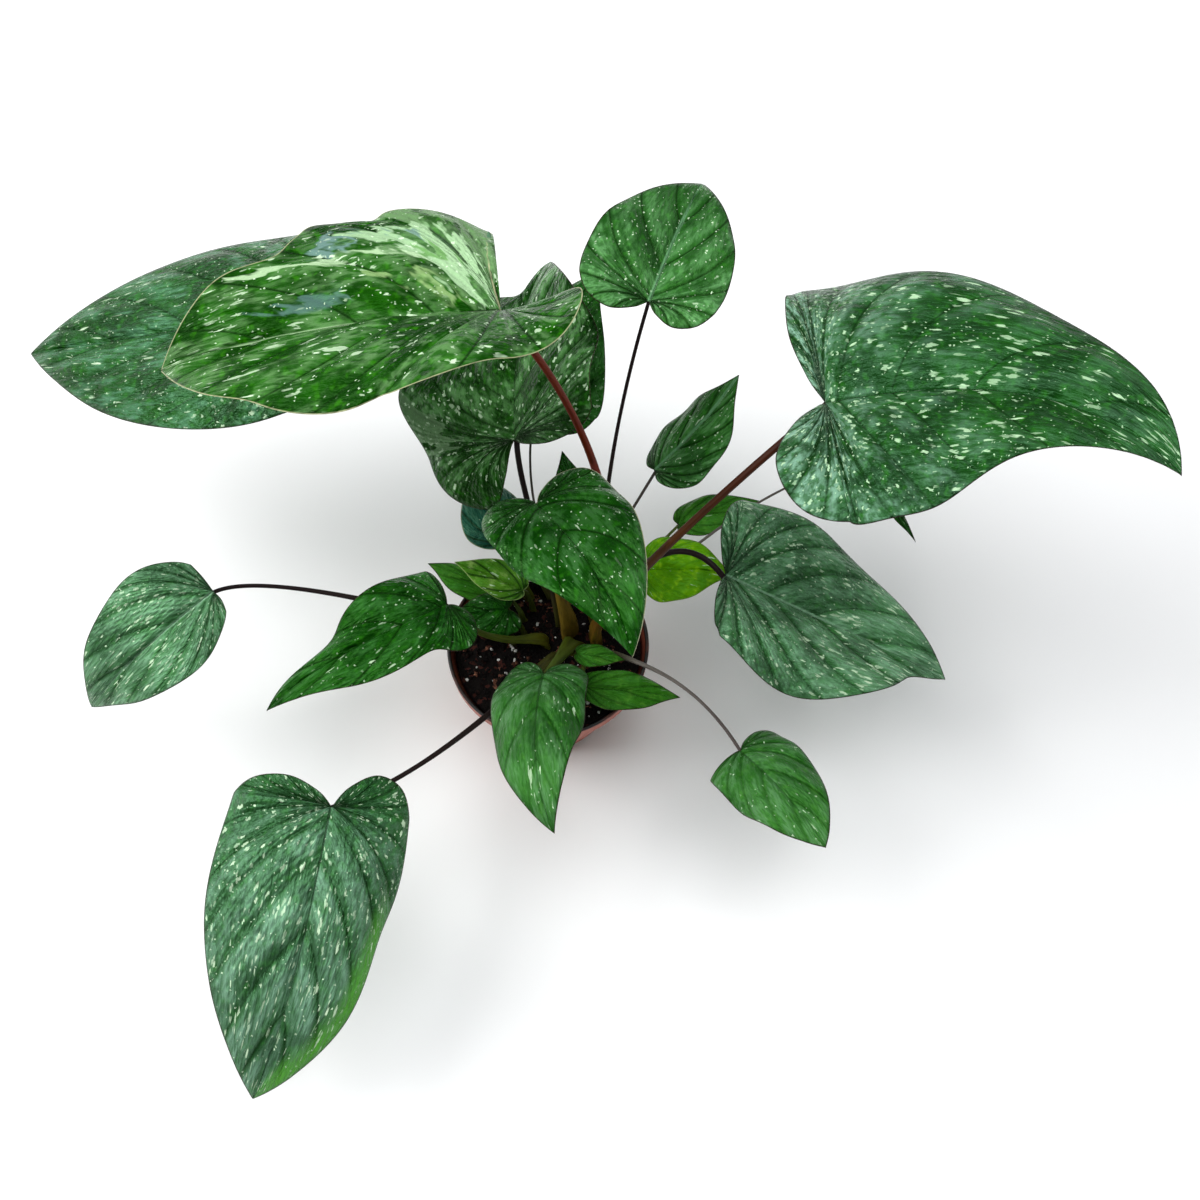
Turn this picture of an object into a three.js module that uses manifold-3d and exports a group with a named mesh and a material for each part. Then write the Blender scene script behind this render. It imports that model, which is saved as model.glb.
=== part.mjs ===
// A homalomena with star-dusted, heart-shaped leaves, growing in a low clay-coloured plastic pot of soil.
// Millimetres, +Z up, +Y towards the back. The origin is the middle of the pot's base, on the surface it
// stands on. Every leaf is one solid, blade and stalk together, and stands in its own plain hole in the soil.
import * as THREE from "three";
import { mergeVertices } from "three/addons/utils/BufferGeometryUtils.js";
import Module from "manifold-3d";

const wasm = await Module();
wasm.setup();

// The pot: a thin tapered wall with a flat base, drain holes and a band that stands proud below the rim.
const POT_HEIGHT = 82;
const RIM_RADIUS = 60;
const RIM_BAND = 9;
const RIM_PROUD = 1.6;
const RIM_FLARE = 0.6;
const BASE_RADIUS = 35;
const WALL = 1.8;
const BASE_ROUND = 1.5;
const DRAIN_HOLES = 6;
const DRAIN_RADIUS = 4;
const DRAIN_CIRCLE = 24;
const ROUND_SIDES = 48;

// The soil fills the pot to a little below its rim, and is lumpy on top.
const SOIL_TOP = 75;
const SOIL_MOUND = 2.5;
const SOIL_LUMP = 1.1;
const SOIL_RINGS = 7;
const SOIL_SIDES = 30;

// The space left all round where two parts meet.
const GAP = 0.35;

// The leaves: a blade of even thickness on a tapered stalk that runs on under the blade as its midrib.
const BLADE = 0.7;
const STALK_DEPTH = 13;
const STALK_UPRIGHT = 9;
const STALK_SIDES = 6;
const STALK_STEPS = 9;
const RIDGE_STEPS = 3;
const RIDGE_SHARE = 0.5;
const SPINE_STEPS = 24;
const BEND_LATE = 0.6;
const FAN_SHARE = 0.28;
// How many ribs each half has and how many steps a rib, for blades up to a length.
const RIBS = [[60, 8, 3], [110, 11, 3], [300, 14, 4]];

// Colours
const POT_COLOUR = 0xa9553f;
const SOIL_COLOUR = 0x1d1310;
const DEEP_GREEN = 0x1c5524;
const GREY_GREEN = 0x2b6440;
const YOUNG_GREEN = 0x3c7420;
const LIME_GREEN = 0x64991f;

// Half outlines from the notch at the stalk, round one lobe, to the tip: [along, across] as shares of the
// length and of the full width.
const FORMS = {
  heart: [
    [0, 0], [-0.09, 0.08], [-0.16, 0.23], [-0.11, 0.4], [0.06, 0.49],
    [0.31, 0.48], [0.58, 0.36], [0.83, 0.16], [1, 0],
  ],
  round: [
    [0, 0], [-0.1, 0.1], [-0.16, 0.27], [-0.08, 0.43], [0.14, 0.5],
    [0.42, 0.47], [0.7, 0.33], [0.9, 0.14], [1, 0],
  ],
  egg: [[0, 0], [-0.03, 0.15], [0.04, 0.34], [0.2, 0.47], [0.4, 0.48], [0.62, 0.36], [0.83, 0.15], [1, 0]],
};

// What most leaves have. Angles are in degrees, lengths in millimetres, pairs are [left half, right half].
const USUAL = {
  form: "heart",
  pitch: 0, // rise of the midrib at the joint
  droop: 20, // how far it bends down by the tip
  roll: 0, // how far the right side hangs
  twist: 0, // how much further it hangs by the tip
  sweep: 0, // how far the midrib bends to the right
  fold: [14, 14], // how steeply each half rises from the midrib
  curl: [38, 38], // how far it bends back down by its edge
  lobe: [1, 1], // how far the lobes reach back behind the joint
  full: 1, // more than one sets the widest part nearer to the tip
  sag: 1, // how far the lobes hang
  wave: 1.5, // height of the ripples along the edge
  ripples: 2, // how many there are
  phase: [0.3, 0.3], // where they start
  lean: 0.3, // how far the stalk leans out as it leaves the soil
  bow: 50, // how steeply it still rises as it reaches the blade
  stout: 1, // more than one thickens the stalk
  aside: [0, 0], // how far its middle is pushed to +X and +Y
  colour: DEEP_GREEN,
};

// One entry for each leaf. root is where its stalk leaves the soil and joint is where stalk and blade meet.
// heading is the compass way of the blade, 0 for +X and 90 for +Y, long its length and half the widths of its
// two halves.
const LEAVES = [
  { name: "leaf_high_left", root: [27, 21], joint: [-16, 59, 320], heading: 186, long: 172,
    half: [80, 79], pitch: 2, droop: 28, roll: 26, twist: -32, sweep: 10, fold: [28, 28], curl: [44, 34],
    lobe: [1.3, -0.15], full: 1.3, sag: -2, wave: 6, ripples: 1.4, phase: [0.1, 0.95], lean: -0.5,
    bow: 59, aside: [-2, 40] },
  { name: "leaf_far_left", root: [2, 37], joint: [-125, 126, 238], heading: 172, long: 211,
    half: [73, 72], pitch: -21, droop: 7, roll: 3, twist: -7, sweep: 6, full: 1.1, wave: 0.8,
    phase: [0.5, 0.35], lean: 3.5, bow: 23, aside: [-16, 60] },
  { name: "leaf_back_middle", root: [8, 17], joint: [-17, 73, 190], heading: 92, long: 131,
    half: [62, 63], pitch: 10, droop: 38, roll: -42, twist: -2, sweep: 3, fold: [20, 16], curl: [8, 36],
    lobe: [1.45, 0.5], full: 1.1, sag: 2.8, wave: 6, ripples: 1.7, phase: [0.78, 0.03], lean: 0, bow: 64,
    aside: [-7, 8] },
  { name: "leaf_back_low", root: [10, 42], joint: [-6, 114, 163], heading: 76, long: 112, half: [38, 38],
    pitch: 5, droop: 19, roll: -8, sweep: 13, lobe: [1, 0.85], full: 0.74, phase: [0.7, 0.7], lean: -0.3,
    bow: 28, stout: 0.45, aside: [-17, 3] },
  { name: "leaf_back_high", root: [33, 29], joint: [57, 114, 260], heading: 72, long: 103, half: [43, 39],
    droop: 21, roll: 5, twist: -5, sweep: 4, fold: [22, 22], curl: [24, 27], lobe: [0.85, 0.85],
    full: 1.1, wave: 2, ripples: 2.3, phase: [0.3, 0.35], lean: 0.2, bow: 70, stout: 0.7,
    aside: [-8, 2] },
  { name: "leaf_big_right", root: [29, 3], joint: [146, 49, 260], heading: 5, long: 187, half: [103, 88],
    pitch: 10, droop: 16, roll: -10, twist: -5, sweep: 68, fold: [19, 17], curl: [48, 36], lobe: [0.4, 1],
    full: 0.72, sag: 0, wave: 5, phase: [0.6, 0.05], lean: -0.3, bow: 0, aside: [11, -22] },
  { name: "leaf_mid_right", root: [28, 12], joint: [102, 9, 150], heading: -16, long: 142, half: [60, 62],
    pitch: -22, droop: -10, roll: -14, sweep: 12, fold: [24, 24], curl: [28, 46], lobe: [0.45, 0.3],
    full: 1.35, wave: 6, ripples: 1.1, phase: [0.9, 0.3], lean: 0.8, bow: -43, aside: [-3, 25],
    colour: GREY_GREEN },
  { name: "leaf_middle", root: [12, 8], joint: [-2.6, 21, 208], heading: -54, long: 106,
    half: [42.5, 36.5], pitch: 14, droop: 48, roll: -6, twist: -10, sweep: 11, curl: [33, 46],
    lobe: [0.55, 0.85], full: 0.9, wave: 3, phase: [0.5, 0.05], lean: 0.1, bow: 80, stout: 1.6 },
  { name: "leaf_small_back", form: "egg", root: [20, 25], joint: [64, 92, 130], heading: 32, long: 76,
    half: [24, 27], pitch: 34, droop: -4, roll: -10, twist: 10, sweep: -14, fold: [7, 7], curl: [52, 44],
    wave: 2.5, phase: [0.75, 0.5], lean: 0.9, bow: 20, stout: 0.7, colour: GREY_GREEN },
  { name: "leaf_small_right", form: "egg", root: [38, 28], joint: [79, 72, 100], heading: 20, long: 54,
    half: [14, 13], pitch: 5, droop: 15, sweep: 4, wave: 1, lean: 1.5, bow: 5, stout: 0.8,
    colour: YOUNG_GREEN },
  { name: "leaf_new_lime", form: "egg", root: [36, 12], joint: [57, 40, 101], heading: -5, long: 55,
    half: [23, 22.5], pitch: 14, droop: 23, roll: 5, sweep: 11, wave: 2.5, ripples: 1.8,
    phase: [0.05, 0.55], lean: 0.8, bow: 10, colour: LIME_GREEN },
  { name: "leaf_outer_left", form: "egg", root: [-20, 3], joint: [-188, 4, 140], heading: -144, long: 113,
    half: [32, 37], pitch: -15, droop: 52, roll: -12, twist: -16, fold: [26, 30], curl: [34, 32],
    lobe: [0.4, 0.2], wave: 3, ripples: 1.75, phase: [0.3, 0.9], lean: 3, bow: 19, aside: [-36, 20], stout: 0.8,
    colour: GREY_GREEN },
  { name: "leaf_mid_left", root: [-1, 2], joint: [-55, -4, 140], heading: -149, long: 118, half: [31, 28],
    pitch: 8, droop: 36, roll: 3, twist: 8, curl: [34, 14], lobe: [0.45, 0.15], full: 0.88, sag: 1.5,
    wave: 5, ripples: 1.5, phase: [0.85, 0.75], lean: 2.2, bow: 27, aside: [-12, -8] },
  { name: "leaf_front_left", root: [7, -7], joint: [-112, -121, 130], heading: -98, long: 163,
    half: [48, 58], pitch: -10, droop: 42, roll: -9, twist: -6, sweep: 13, fold: [12, 11], curl: [60, 40],
    lobe: [0.8, 0.5], full: 1.27, wave: 3, ripples: 1.6, phase: [0.2, 0.7], lean: 4, bow: 31,
    aside: [5, -7], stout: 0.72, colour: GREY_GREEN },
  { name: "leaf_front", root: [16, -2], joint: [-0.8, -33, 110], heading: -98, long: 102, half: [28, 30],
    pitch: 18, droop: 52, roll: 15, twist: 8, sweep: -20, fold: [8, 10], curl: [48, 40], lobe: [0.5, 0.7],
    wave: 4, phase: [0, 0.9], lean: 0.7, bow: 20, stout: 1.8 },
  { name: "leaf_front_right", form: "egg", root: [22, -9], joint: [21, -35, 96], heading: -4, long: 58,
    half: [13, 13], pitch: -3, droop: 13, roll: 4, full: 1.1, lean: 1, bow: 10, colour: YOUNG_GREEN },
  { name: "leaf_front_new", form: "egg", root: [24, -3], joint: [17, -14, 97], heading: -10, long: 30,
    half: [8, 8], pitch: 5, droop: 10, wave: 0.8, lean: 0.5, colour: YOUNG_GREEN },
  { name: "leaf_outer_right", form: "round", root: [30, -6], joint: [109.5, -80.5, 110], heading: -53,
    long: 77, half: [27, 26], pitch: 22, droop: 28, roll: 2, twist: 8, sweep: 11, fold: [8, 8],
    curl: [44, 46], lobe: [0.4, 0.1], wave: 2.5, phase: [0.75, 0.95], lean: 4, bow: -16, stout: 0.75,
    aside: [1, 15] },
  { name: "leaf_small_left_outer", form: "egg", root: [-16, 18], joint: [-23, 28, 90], heading: 160,
    long: 54, half: [14, 9], pitch: 12, droop: 12, full: 1.35, lean: 0.4, colour: YOUNG_GREEN },
  { name: "leaf_small_left_inner", form: "egg", root: [-10, 26], joint: [-14, 23.5, 105], heading: 160,
    long: 45, half: [11, 13], pitch: 12, droop: 10, roll: -10, lean: 0.3, colour: YOUNG_GREEN },
  { name: "leaf_small_dark", form: "round", root: [-15, 8], joint: [-23, 13.5, 100], heading: 186,
    long: 32, half: [17, 12], lobe: [1.4, 0.7], roll: -14, wave: 0.8, lean: 0.5 },
  { name: "leaf_teal_left", form: "egg", root: [-12, 32], joint: [-28, 66, 86], heading: 112, long: 58,
    half: [21, 21], pitch: 5, droop: 15, lean: 0.6, colour: GREY_GREEN },
  { name: "leaf_tip_back", form: "egg", root: [18, 36], joint: [18, 60, 127], heading: 104, long: 42,
    half: [11, 11], pitch: 25, droop: 10, wave: 0.8, lean: 0.5 },
  { name: "leaf_under_right", form: "egg", root: [38, 19], joint: [195, 97, 115], heading: -56, long: 50,
    half: [5, 5], pitch: -5, lean: 3, bow: -28, stout: 0.6, aside: [9, 24] },
].map((leaf) => ({ ...USUAL, ...leaf }));

const rad = THREE.MathUtils.degToRad;

// A three.js geometry as a solid, and back.
function solidOf(geometry) {
  const bare = new THREE.BufferGeometry().setAttribute("position", geometry.getAttribute("position"));
  if (geometry.index) bare.setIndex(geometry.index);
  const merged = mergeVertices(bare, 1e-4);
  return new wasm.Manifold(
    new wasm.Mesh({
      numProp: 3,
      vertProperties: new Float32Array(merged.attributes.position.array),
      triVerts: new Uint32Array(merged.index.array),
    }),
  );
}

function geometryOf(solid) {
  const made = solid.getMesh();
  return new THREE.BufferGeometry()
    .setAttribute("position", new THREE.BufferAttribute(made.vertProperties, 3))
    .setIndex(new THREE.BufferAttribute(made.triVerts, 1));
}

function geometryFrom(points, faces) {
  return new THREE.BufferGeometry().setFromPoints(points).setIndex(faces.flat());
}

// The midrib as a chain of frames, from the joint to the tip.
function spineOf(leaf) {
  const [heading, pitch] = [rad(leaf.heading), rad(leaf.pitch)];
  const tangent = new THREE.Vector3(
    Math.cos(heading) * Math.cos(pitch), Math.sin(heading) * Math.cos(pitch), Math.sin(pitch),
  );
  const normal = new THREE.Vector3(
    -Math.cos(heading) * Math.sin(pitch), -Math.sin(heading) * Math.sin(pitch), Math.cos(pitch),
  );
  normal.applyAxisAngle(tangent, rad(leaf.roll));
  const point = new THREE.Vector3(...leaf.joint);
  const frames = [];
  for (let i = 0; i <= SPINE_STEPS; i++) {
    const side = tangent.clone().cross(normal);
    frames.push({ point: point.clone(), tangent: tangent.clone(), normal: normal.clone(), side });
    const share = ((i + 1) / SPINE_STEPS) ** (1 + BEND_LATE) - (i / SPINE_STEPS) ** (1 + BEND_LATE);
    point.addScaledVector(tangent, leaf.long / SPINE_STEPS);
    tangent.applyAxisAngle(side, -rad(leaf.droop) * share);
    normal.applyAxisAngle(side, -rad(leaf.droop) * share);
    tangent.applyAxisAngle(normal, -rad(leaf.sweep) * share);
    normal.applyAxisAngle(tangent, rad(leaf.twist) * share);
  }
  return frames;
}

function frameAt(frames, share) {
  const place = THREE.MathUtils.clamp(share, 0, 1) * SPINE_STEPS;
  const i = Math.min(Math.floor(place), SPINE_STEPS - 1);
  const mix = (key) => frames[i][key].clone().lerp(frames[i + 1][key], place - i);
  return { point: mix("point"), tangent: mix("tangent"), normal: mix("normal"), side: mix("side") };
}

// The point of the blade's middle surface at [along, across] in shares of its length and full width, on the
// left half (hand 0) or the right half (hand 1). The cross-section is an arc that leaves the midrib at the
// fold.
function bladePoint(leaf, frames, along, across, hand) {
  const { point, tangent, normal, side } = frameAt(frames, along);
  const half = leaf.half[hand];
  const [fold, curl] = [rad(leaf.fold[hand]), rad(leaf.curl[hand])];
  const slope = fold - curl * across * 2;
  const sideways = (half * (Math.sin(fold) - Math.sin(slope))) / curl;
  const swing = Math.sin(2 * Math.PI * (leaf.ripples * along + leaf.phase[hand]));
  const ripple = leaf.wave * (2 * across) ** 2 * swing;
  const hang = leaf.sag * leaf.long * Math.min(along, 0) ** 2;
  const height = (half * (Math.cos(slope) - Math.cos(fold))) / curl + ripple - hang;
  return point
    .addScaledVector(tangent, Math.min(along, 0) * leaf.long)
    .addScaledVector(side, hand ? sideways : -sideways)
    .addScaledVector(normal, height);
}

// The blade: ribs that fan out from the joint round the lobes and then leave the midrib one after another,
// given a thickness along the middle surface's own normals, with both faces split alike.
function bladeGeometry(leaf, frames) {
  const [ribs, steps] = RIBS.find(([longest]) => leaf.long <= longest).slice(1);
  const outline = new THREE.SplineCurve(FORMS[leaf.form].map((at) => new THREE.Vector2(...at)));
  const starts = [];
  for (let k = 0; k <= ribs; k++) starts.push(Math.max(0, (k / ribs - FAN_SHARE) / (1 - FAN_SHARE)));
  const points = [];
  const faces = [];
  const midrib = [];
  for (const start of starts) {
    const last = midrib.length - 1;
    if (last >= 0 && start === 0) midrib.push(midrib[last]);
    else midrib.push(points.push(bladePoint(leaf, frames, start, 0, 0)) - 1);
  }
  const edges = [0, 1].map((hand) => {
    const rows = starts.map((start, k) => {
      if (k === 0 || k === ribs) return Array(steps + 1).fill(midrib[k]);
      const { x, y } = outline.getPoint(k / ribs);
      const end = new THREE.Vector2(x < 0 ? x * leaf.lobe[hand] : x ** (1 / leaf.full), y);
      const control = new THREE.Vector2(start + (end.x - start) * 0.15, end.y * 0.62);
      const rib = new THREE.QuadraticBezierCurve(new THREE.Vector2(start, 0), control, end);
      const row = [midrib[k]];
      for (let j = 1; j <= steps; j++) {
        const at = rib.getPoint(j / steps);
        row.push(points.push(bladePoint(leaf, frames, at.x, at.y, hand)) - 1);
      }
      return row;
    });
    for (let k = 0; k < ribs; k++)
      for (let j = 0; j < steps; j++) {
        const [a, b, c, d] = [rows[k][j], rows[k + 1][j], rows[k + 1][j + 1], rows[k][j + 1]];
        for (const face of [[a, b, c], [a, c, d]])
          if (new Set(face).size === 3) faces.push(hand ? face.reverse() : face);
      }
    return rows.map((row) => row[steps]);
  });
  const normals = points.map(() => new THREE.Vector3());
  for (const [a, b, c] of faces) {
    const area = points[b].clone().sub(points[a]).cross(points[c].clone().sub(points[a]));
    for (const i of [a, b, c]) normals[i].add(area);
  }
  const shifted = (by) => points.map((p, i) => p.clone().addScaledVector(normals[i].normalize(), by));
  const count = points.length;
  const loop = [...edges[1], ...edges[0].slice(1, -1).reverse()];
  const rim = loop.flatMap((a, i) => {
    const b = loop[(i + 1) % loop.length];
    return [[a, a + count, b + count], [a, b + count, b]];
  });
  const under = faces.map(([a, b, c]) => [a + count, c + count, b + count]);
  return geometryFrom([...shifted(BLADE / 2), ...shifted(-BLADE / 2)], [...faces, ...under, ...rim]);
}

// A closed tube through points, with a radius at each of them.
function tubeGeometry(path, radii, sides) {
  const points = [];
  const faces = [];
  let across = new THREE.Vector3(1, 0, 0);
  path.forEach((at, i) => {
    const [before, after] = [path[Math.max(i - 1, 0)], path[Math.min(i + 1, path.length - 1)]];
    const along = after.clone().sub(before).normalize();
    across = across.addScaledVector(along, -across.dot(along)).normalize().clone();
    const up = along.clone().cross(across);
    for (let k = 0; k < sides; k++) {
      const turn = (2 * Math.PI * k) / sides;
      const out = across.clone().multiplyScalar(Math.cos(turn)).addScaledVector(up, Math.sin(turn));
      points.push(at.clone().addScaledVector(out, radii[i]));
      if (i === 0) continue;
      const [a, b] = [(i - 1) * sides + k, (i - 1) * sides + ((k + 1) % sides)];
      faces.push([a, b, b + sides], [a, b + sides, a + sides]);
    }
  });
  const last = (path.length - 1) * sides;
  for (let k = 1; k < sides - 1; k++) faces.push([0, k + 1, k], [last, last + k, last + k + 1]);
  return geometryFrom(points, faces);
}

// Stalk radii at the soil and at the joint, from the size of the blade.
const footRadius = (leaf) => (1.3 + leaf.long * 0.0135) * leaf.stout;
const neckRadius = (leaf) => (0.75 + leaf.long * 0.007) * leaf.stout;

// The stalk rises from its foot and bows over to the joint, then runs on as the midrib under the blade.
function stalkGeometry(leaf, frames) {
  const neck = neckRadius(leaf);
  const under = (frame, radius) => frame.point.clone().addScaledVector(frame.normal, -radius);
  const foot = new THREE.Vector3(leaf.root[0], leaf.root[1], SOIL_TOP + STALK_UPRIGHT);
  const end = under(frames[0], neck);
  const reach = end.distanceTo(foot);
  const outward = new THREE.Vector3(end.x - foot.x, end.y - foot.y, 0).normalize();
  const up = new THREE.Vector3(0, 0, 1);
  const leaving = up.clone().addScaledVector(outward, leaf.lean).normalize();
  const bow = rad(leaf.bow);
  const arriving = outward.multiplyScalar(Math.cos(bow)).addScaledVector(up, Math.sin(bow));
  const aside = new THREE.Vector3(...leaf.aside, 0);
  const curve = new THREE.CubicBezierCurve3(
    foot,
    foot.clone().addScaledVector(leaving, reach * 0.38).add(aside),
    end.clone().addScaledVector(arriving, -reach * 0.3).add(aside),
    end,
  );
  const path = [foot.clone().setZ(SOIL_TOP - STALK_DEPTH)];
  const radii = [footRadius(leaf)];
  for (let i = 0; i <= STALK_STEPS; i++) {
    const share = i / STALK_STEPS;
    path.push(curve.getPoint(share));
    radii.push(THREE.MathUtils.lerp(footRadius(leaf), neck, Math.min(1, share * 1.6) ** 0.7));
  }
  for (let i = 1; i <= RIDGE_STEPS; i++) {
    const share = i / RIDGE_STEPS;
    const radius = neck * (1 - 0.75 * share);
    path.push(under(frameAt(frames, share * RIDGE_SHARE), radius));
    radii.push(radius);
  }
  return tubeGeometry(path, radii, STALK_SIDES);
}

function leafSolid(leaf) {
  const frames = spineOf(leaf);
  return solidOf(bladeGeometry(leaf, frames)).add(solidOf(stalkGeometry(leaf, frames)));
}

// The hole that a stalk stands in: a straight bore a little wider than its foot, from under the foot to above
// the soil.
function stalkHole(leaf) {
  const [x, y] = leaf.root;
  const heights = [SOIL_TOP - STALK_DEPTH - GAP, SOIL_TOP + STALK_UPRIGHT];
  const path = heights.map((z) => new THREE.Vector3(x, y, z));
  const radius = footRadius(leaf) + GAP;
  return solidOf(tubeGeometry(path, [radius, radius], STALK_SIDES));
}

// A lathe profile of [radius, height] points that closes on the axis, turned to stand on +Z.
function turned(profile, sides) {
  const points = profile.map(([radius, height]) => new THREE.Vector2(radius, height));
  return new THREE.LatheGeometry(points, sides).rotateX(Math.PI / 2);
}

function potSolid() {
  const under = RIM_RADIUS - RIM_PROUD;
  const profile = [
    [0, 0],
    [BASE_RADIUS - BASE_ROUND, 0],
    [BASE_RADIUS, BASE_ROUND],
    [under, POT_HEIGHT - RIM_BAND],
    [RIM_RADIUS, POT_HEIGHT - RIM_BAND],
    [RIM_RADIUS + RIM_FLARE, POT_HEIGHT - 1],
    [RIM_RADIUS - WALL / 2, POT_HEIGHT],
    [RIM_RADIUS - WALL, POT_HEIGHT - 0.5],
    [BASE_RADIUS - WALL, WALL],
    [0, WALL],
  ];
  let pot = solidOf(turned(profile, ROUND_SIDES));
  for (let i = 0; i < DRAIN_HOLES; i++) {
    const drill = new THREE.CylinderGeometry(DRAIN_RADIUS, DRAIN_RADIUS, 4 * WALL, 12);
    drill.rotateX(Math.PI / 2);
    const turn = (2 * Math.PI * i) / DRAIN_HOLES;
    drill.translate(DRAIN_CIRCLE * Math.cos(turn), DRAIN_CIRCLE * Math.sin(turn), WALL / 2);
    pot = pot.subtract(solidOf(drill));
  }
  return pot;
}

// Low waves over the soil, as long as its lumps are wide.
function lumps(x, y) {
  const broad = 0.5 * Math.sin(x * 0.31 + y * 0.12);
  const cross = 0.3 * Math.sin(y * 0.43 - x * 0.2);
  const fine = 0.2 * Math.sin(x * 0.8 + y * 0.7);
  return SOIL_LUMP * (broad + cross + fine);
}

// The soil: a plug a little smaller than the inside of the pot, lumpy on top, with a hole for each stalk.
function soilSolid() {
  const slope = (RIM_RADIUS - BASE_RADIUS) / (POT_HEIGHT - 0.5 - WALL);
  const wallAt = (z) => BASE_RADIUS - WALL - GAP + slope * (z - WALL);
  const bottom = WALL + GAP;
  const top = wallAt(SOIL_TOP);
  const profile = [[0, bottom], [wallAt(bottom), bottom], [top, SOIL_TOP]];
  for (let i = SOIL_RINGS - 1; i >= 0; i--) profile.push([(top * i) / SOIL_RINGS, SOIL_TOP]);
  const geometry = turned(profile, SOIL_SIDES);
  const place = geometry.getAttribute("position");
  for (let i = 0; i < place.count; i++) {
    const [x, y, z] = [place.getX(i), place.getY(i), place.getZ(i)];
    const inward = 1 - Math.hypot(x, y) / top;
    if (z < SOIL_TOP - 1 || inward < 0.01) continue;
    place.setZ(i, z + SOIL_MOUND * Math.sqrt(inward) + lumps(x, y) * Math.min(1, inward * 4));
  }
  return LEAVES.reduce((soil, leaf) => soil.subtract(stalkHole(leaf)), solidOf(geometry));
}

// Each part has its own material.
function named(name, solid, color, roughness) {
  const mesh = new THREE.Mesh(
    geometryOf(solid),
    new THREE.MeshStandardMaterial({ color, roughness, metalness: 0 }),
  );
  mesh.name = name;
  return mesh;
}

const potted = new THREE.Group();
potted.name = "potted_homalomena";
potted.add(named("pot", potSolid(), POT_COLOUR, 0.6), named("soil", soilSolid(), SOIL_COLOUR, 1));

const plant = new THREE.Group();
plant.name = "plant";
for (const leaf of LEAVES) plant.add(named(leaf.name, leafSolid(leaf), leaf.colour, 0.35));
potted.add(plant);

export default potted;
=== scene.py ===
# A homalomena with star-dusted, heart-shaped leaves in a low clay-coloured plastic pot of potting soil.
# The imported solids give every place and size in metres; this script makes the fine surfaces for them.
import math

import bmesh
import bpy
import numpy as np
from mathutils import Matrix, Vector, noise


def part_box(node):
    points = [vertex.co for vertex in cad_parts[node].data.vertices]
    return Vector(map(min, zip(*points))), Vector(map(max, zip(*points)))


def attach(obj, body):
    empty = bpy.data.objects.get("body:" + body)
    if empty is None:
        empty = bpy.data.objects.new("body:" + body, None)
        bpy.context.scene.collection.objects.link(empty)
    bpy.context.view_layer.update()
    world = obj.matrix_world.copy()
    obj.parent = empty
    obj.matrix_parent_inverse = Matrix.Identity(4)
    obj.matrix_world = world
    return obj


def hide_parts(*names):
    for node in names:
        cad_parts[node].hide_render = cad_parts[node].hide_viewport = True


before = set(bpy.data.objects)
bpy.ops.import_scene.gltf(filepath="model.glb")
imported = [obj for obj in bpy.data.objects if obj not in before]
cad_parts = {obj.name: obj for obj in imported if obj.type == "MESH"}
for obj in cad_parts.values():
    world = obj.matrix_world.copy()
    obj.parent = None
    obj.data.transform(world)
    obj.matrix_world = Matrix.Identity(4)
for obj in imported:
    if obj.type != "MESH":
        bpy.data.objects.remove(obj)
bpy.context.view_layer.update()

MM = 0.001

# The pot
# A low round nursery pot, injection moulded in clay-coloured polypropylene. Its thin wall tapers down to
# a flat base with drain holes, and a band stands proud below the rolled lip.
POT_LOW, POT_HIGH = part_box("pot")
POT_HEIGHT = POT_HIGH[2]
LIP_RADIUS = (POT_HIGH[0] - POT_LOW[0]) / 2
BASE_RADIUS = 35 * MM
BAND_HEIGHT = 9 * MM
BAND_PROUD = 1.6 * MM
WALL = 1.8 * MM
HEEL = 1.5 * MM
LIP_FLARE = 0.6 * MM
LIP_ROLL = 1.1 * MM
DRAIN_HOLES = 6
DRAIN_CIRCLE = 24 * MM
DRAIN_RADIUS = 4 * MM
POT_TURNS = 144


def linear(colour):
    """An sRGB hex value as linear red, green, blue and alpha."""
    parts = [((colour >> shift) & 255) / 255 for shift in (16, 8, 0)]
    return [c / 12.92 if c <= 0.04045 else ((c + 0.055) / 1.055) ** 2.4 for c in parts] + [1]


def add(tree, kind, inputs=None, **settings):
    """Adds a node with its settings, its inputs' values and links, and returns its first output in use."""
    made = tree.nodes.new(kind)
    for key, value in settings.items():
        setattr(made, key, value)
    for key, value in (inputs or {}).items():
        if isinstance(value, bpy.types.NodeSocket):
            tree.links.new(value, made.inputs[key])
        else:
            made.inputs[key].default_value = value
    return next((output for output in made.outputs if output.enabled), made)


def new_finish(name):
    """An empty material and its node tree."""
    material = bpy.data.materials.new(name)
    material.use_nodes = True
    material.node_tree.nodes.clear()
    return material, material.node_tree


def finish(tree, inputs):
    """Ends a material's tree with its shader and the output."""
    shader = add(tree, "ShaderNodeBsdfPrincipled", inputs)
    add(tree, "ShaderNodeOutputMaterial", {"Surface": shader})


def piece_from(name, mesh, materials):
    """A finished piece at the origin."""
    piece = bpy.data.objects.new(name, mesh)
    bpy.context.scene.collection.objects.link(piece)
    for material in materials:
        mesh.materials.append(material)
    return piece


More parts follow.
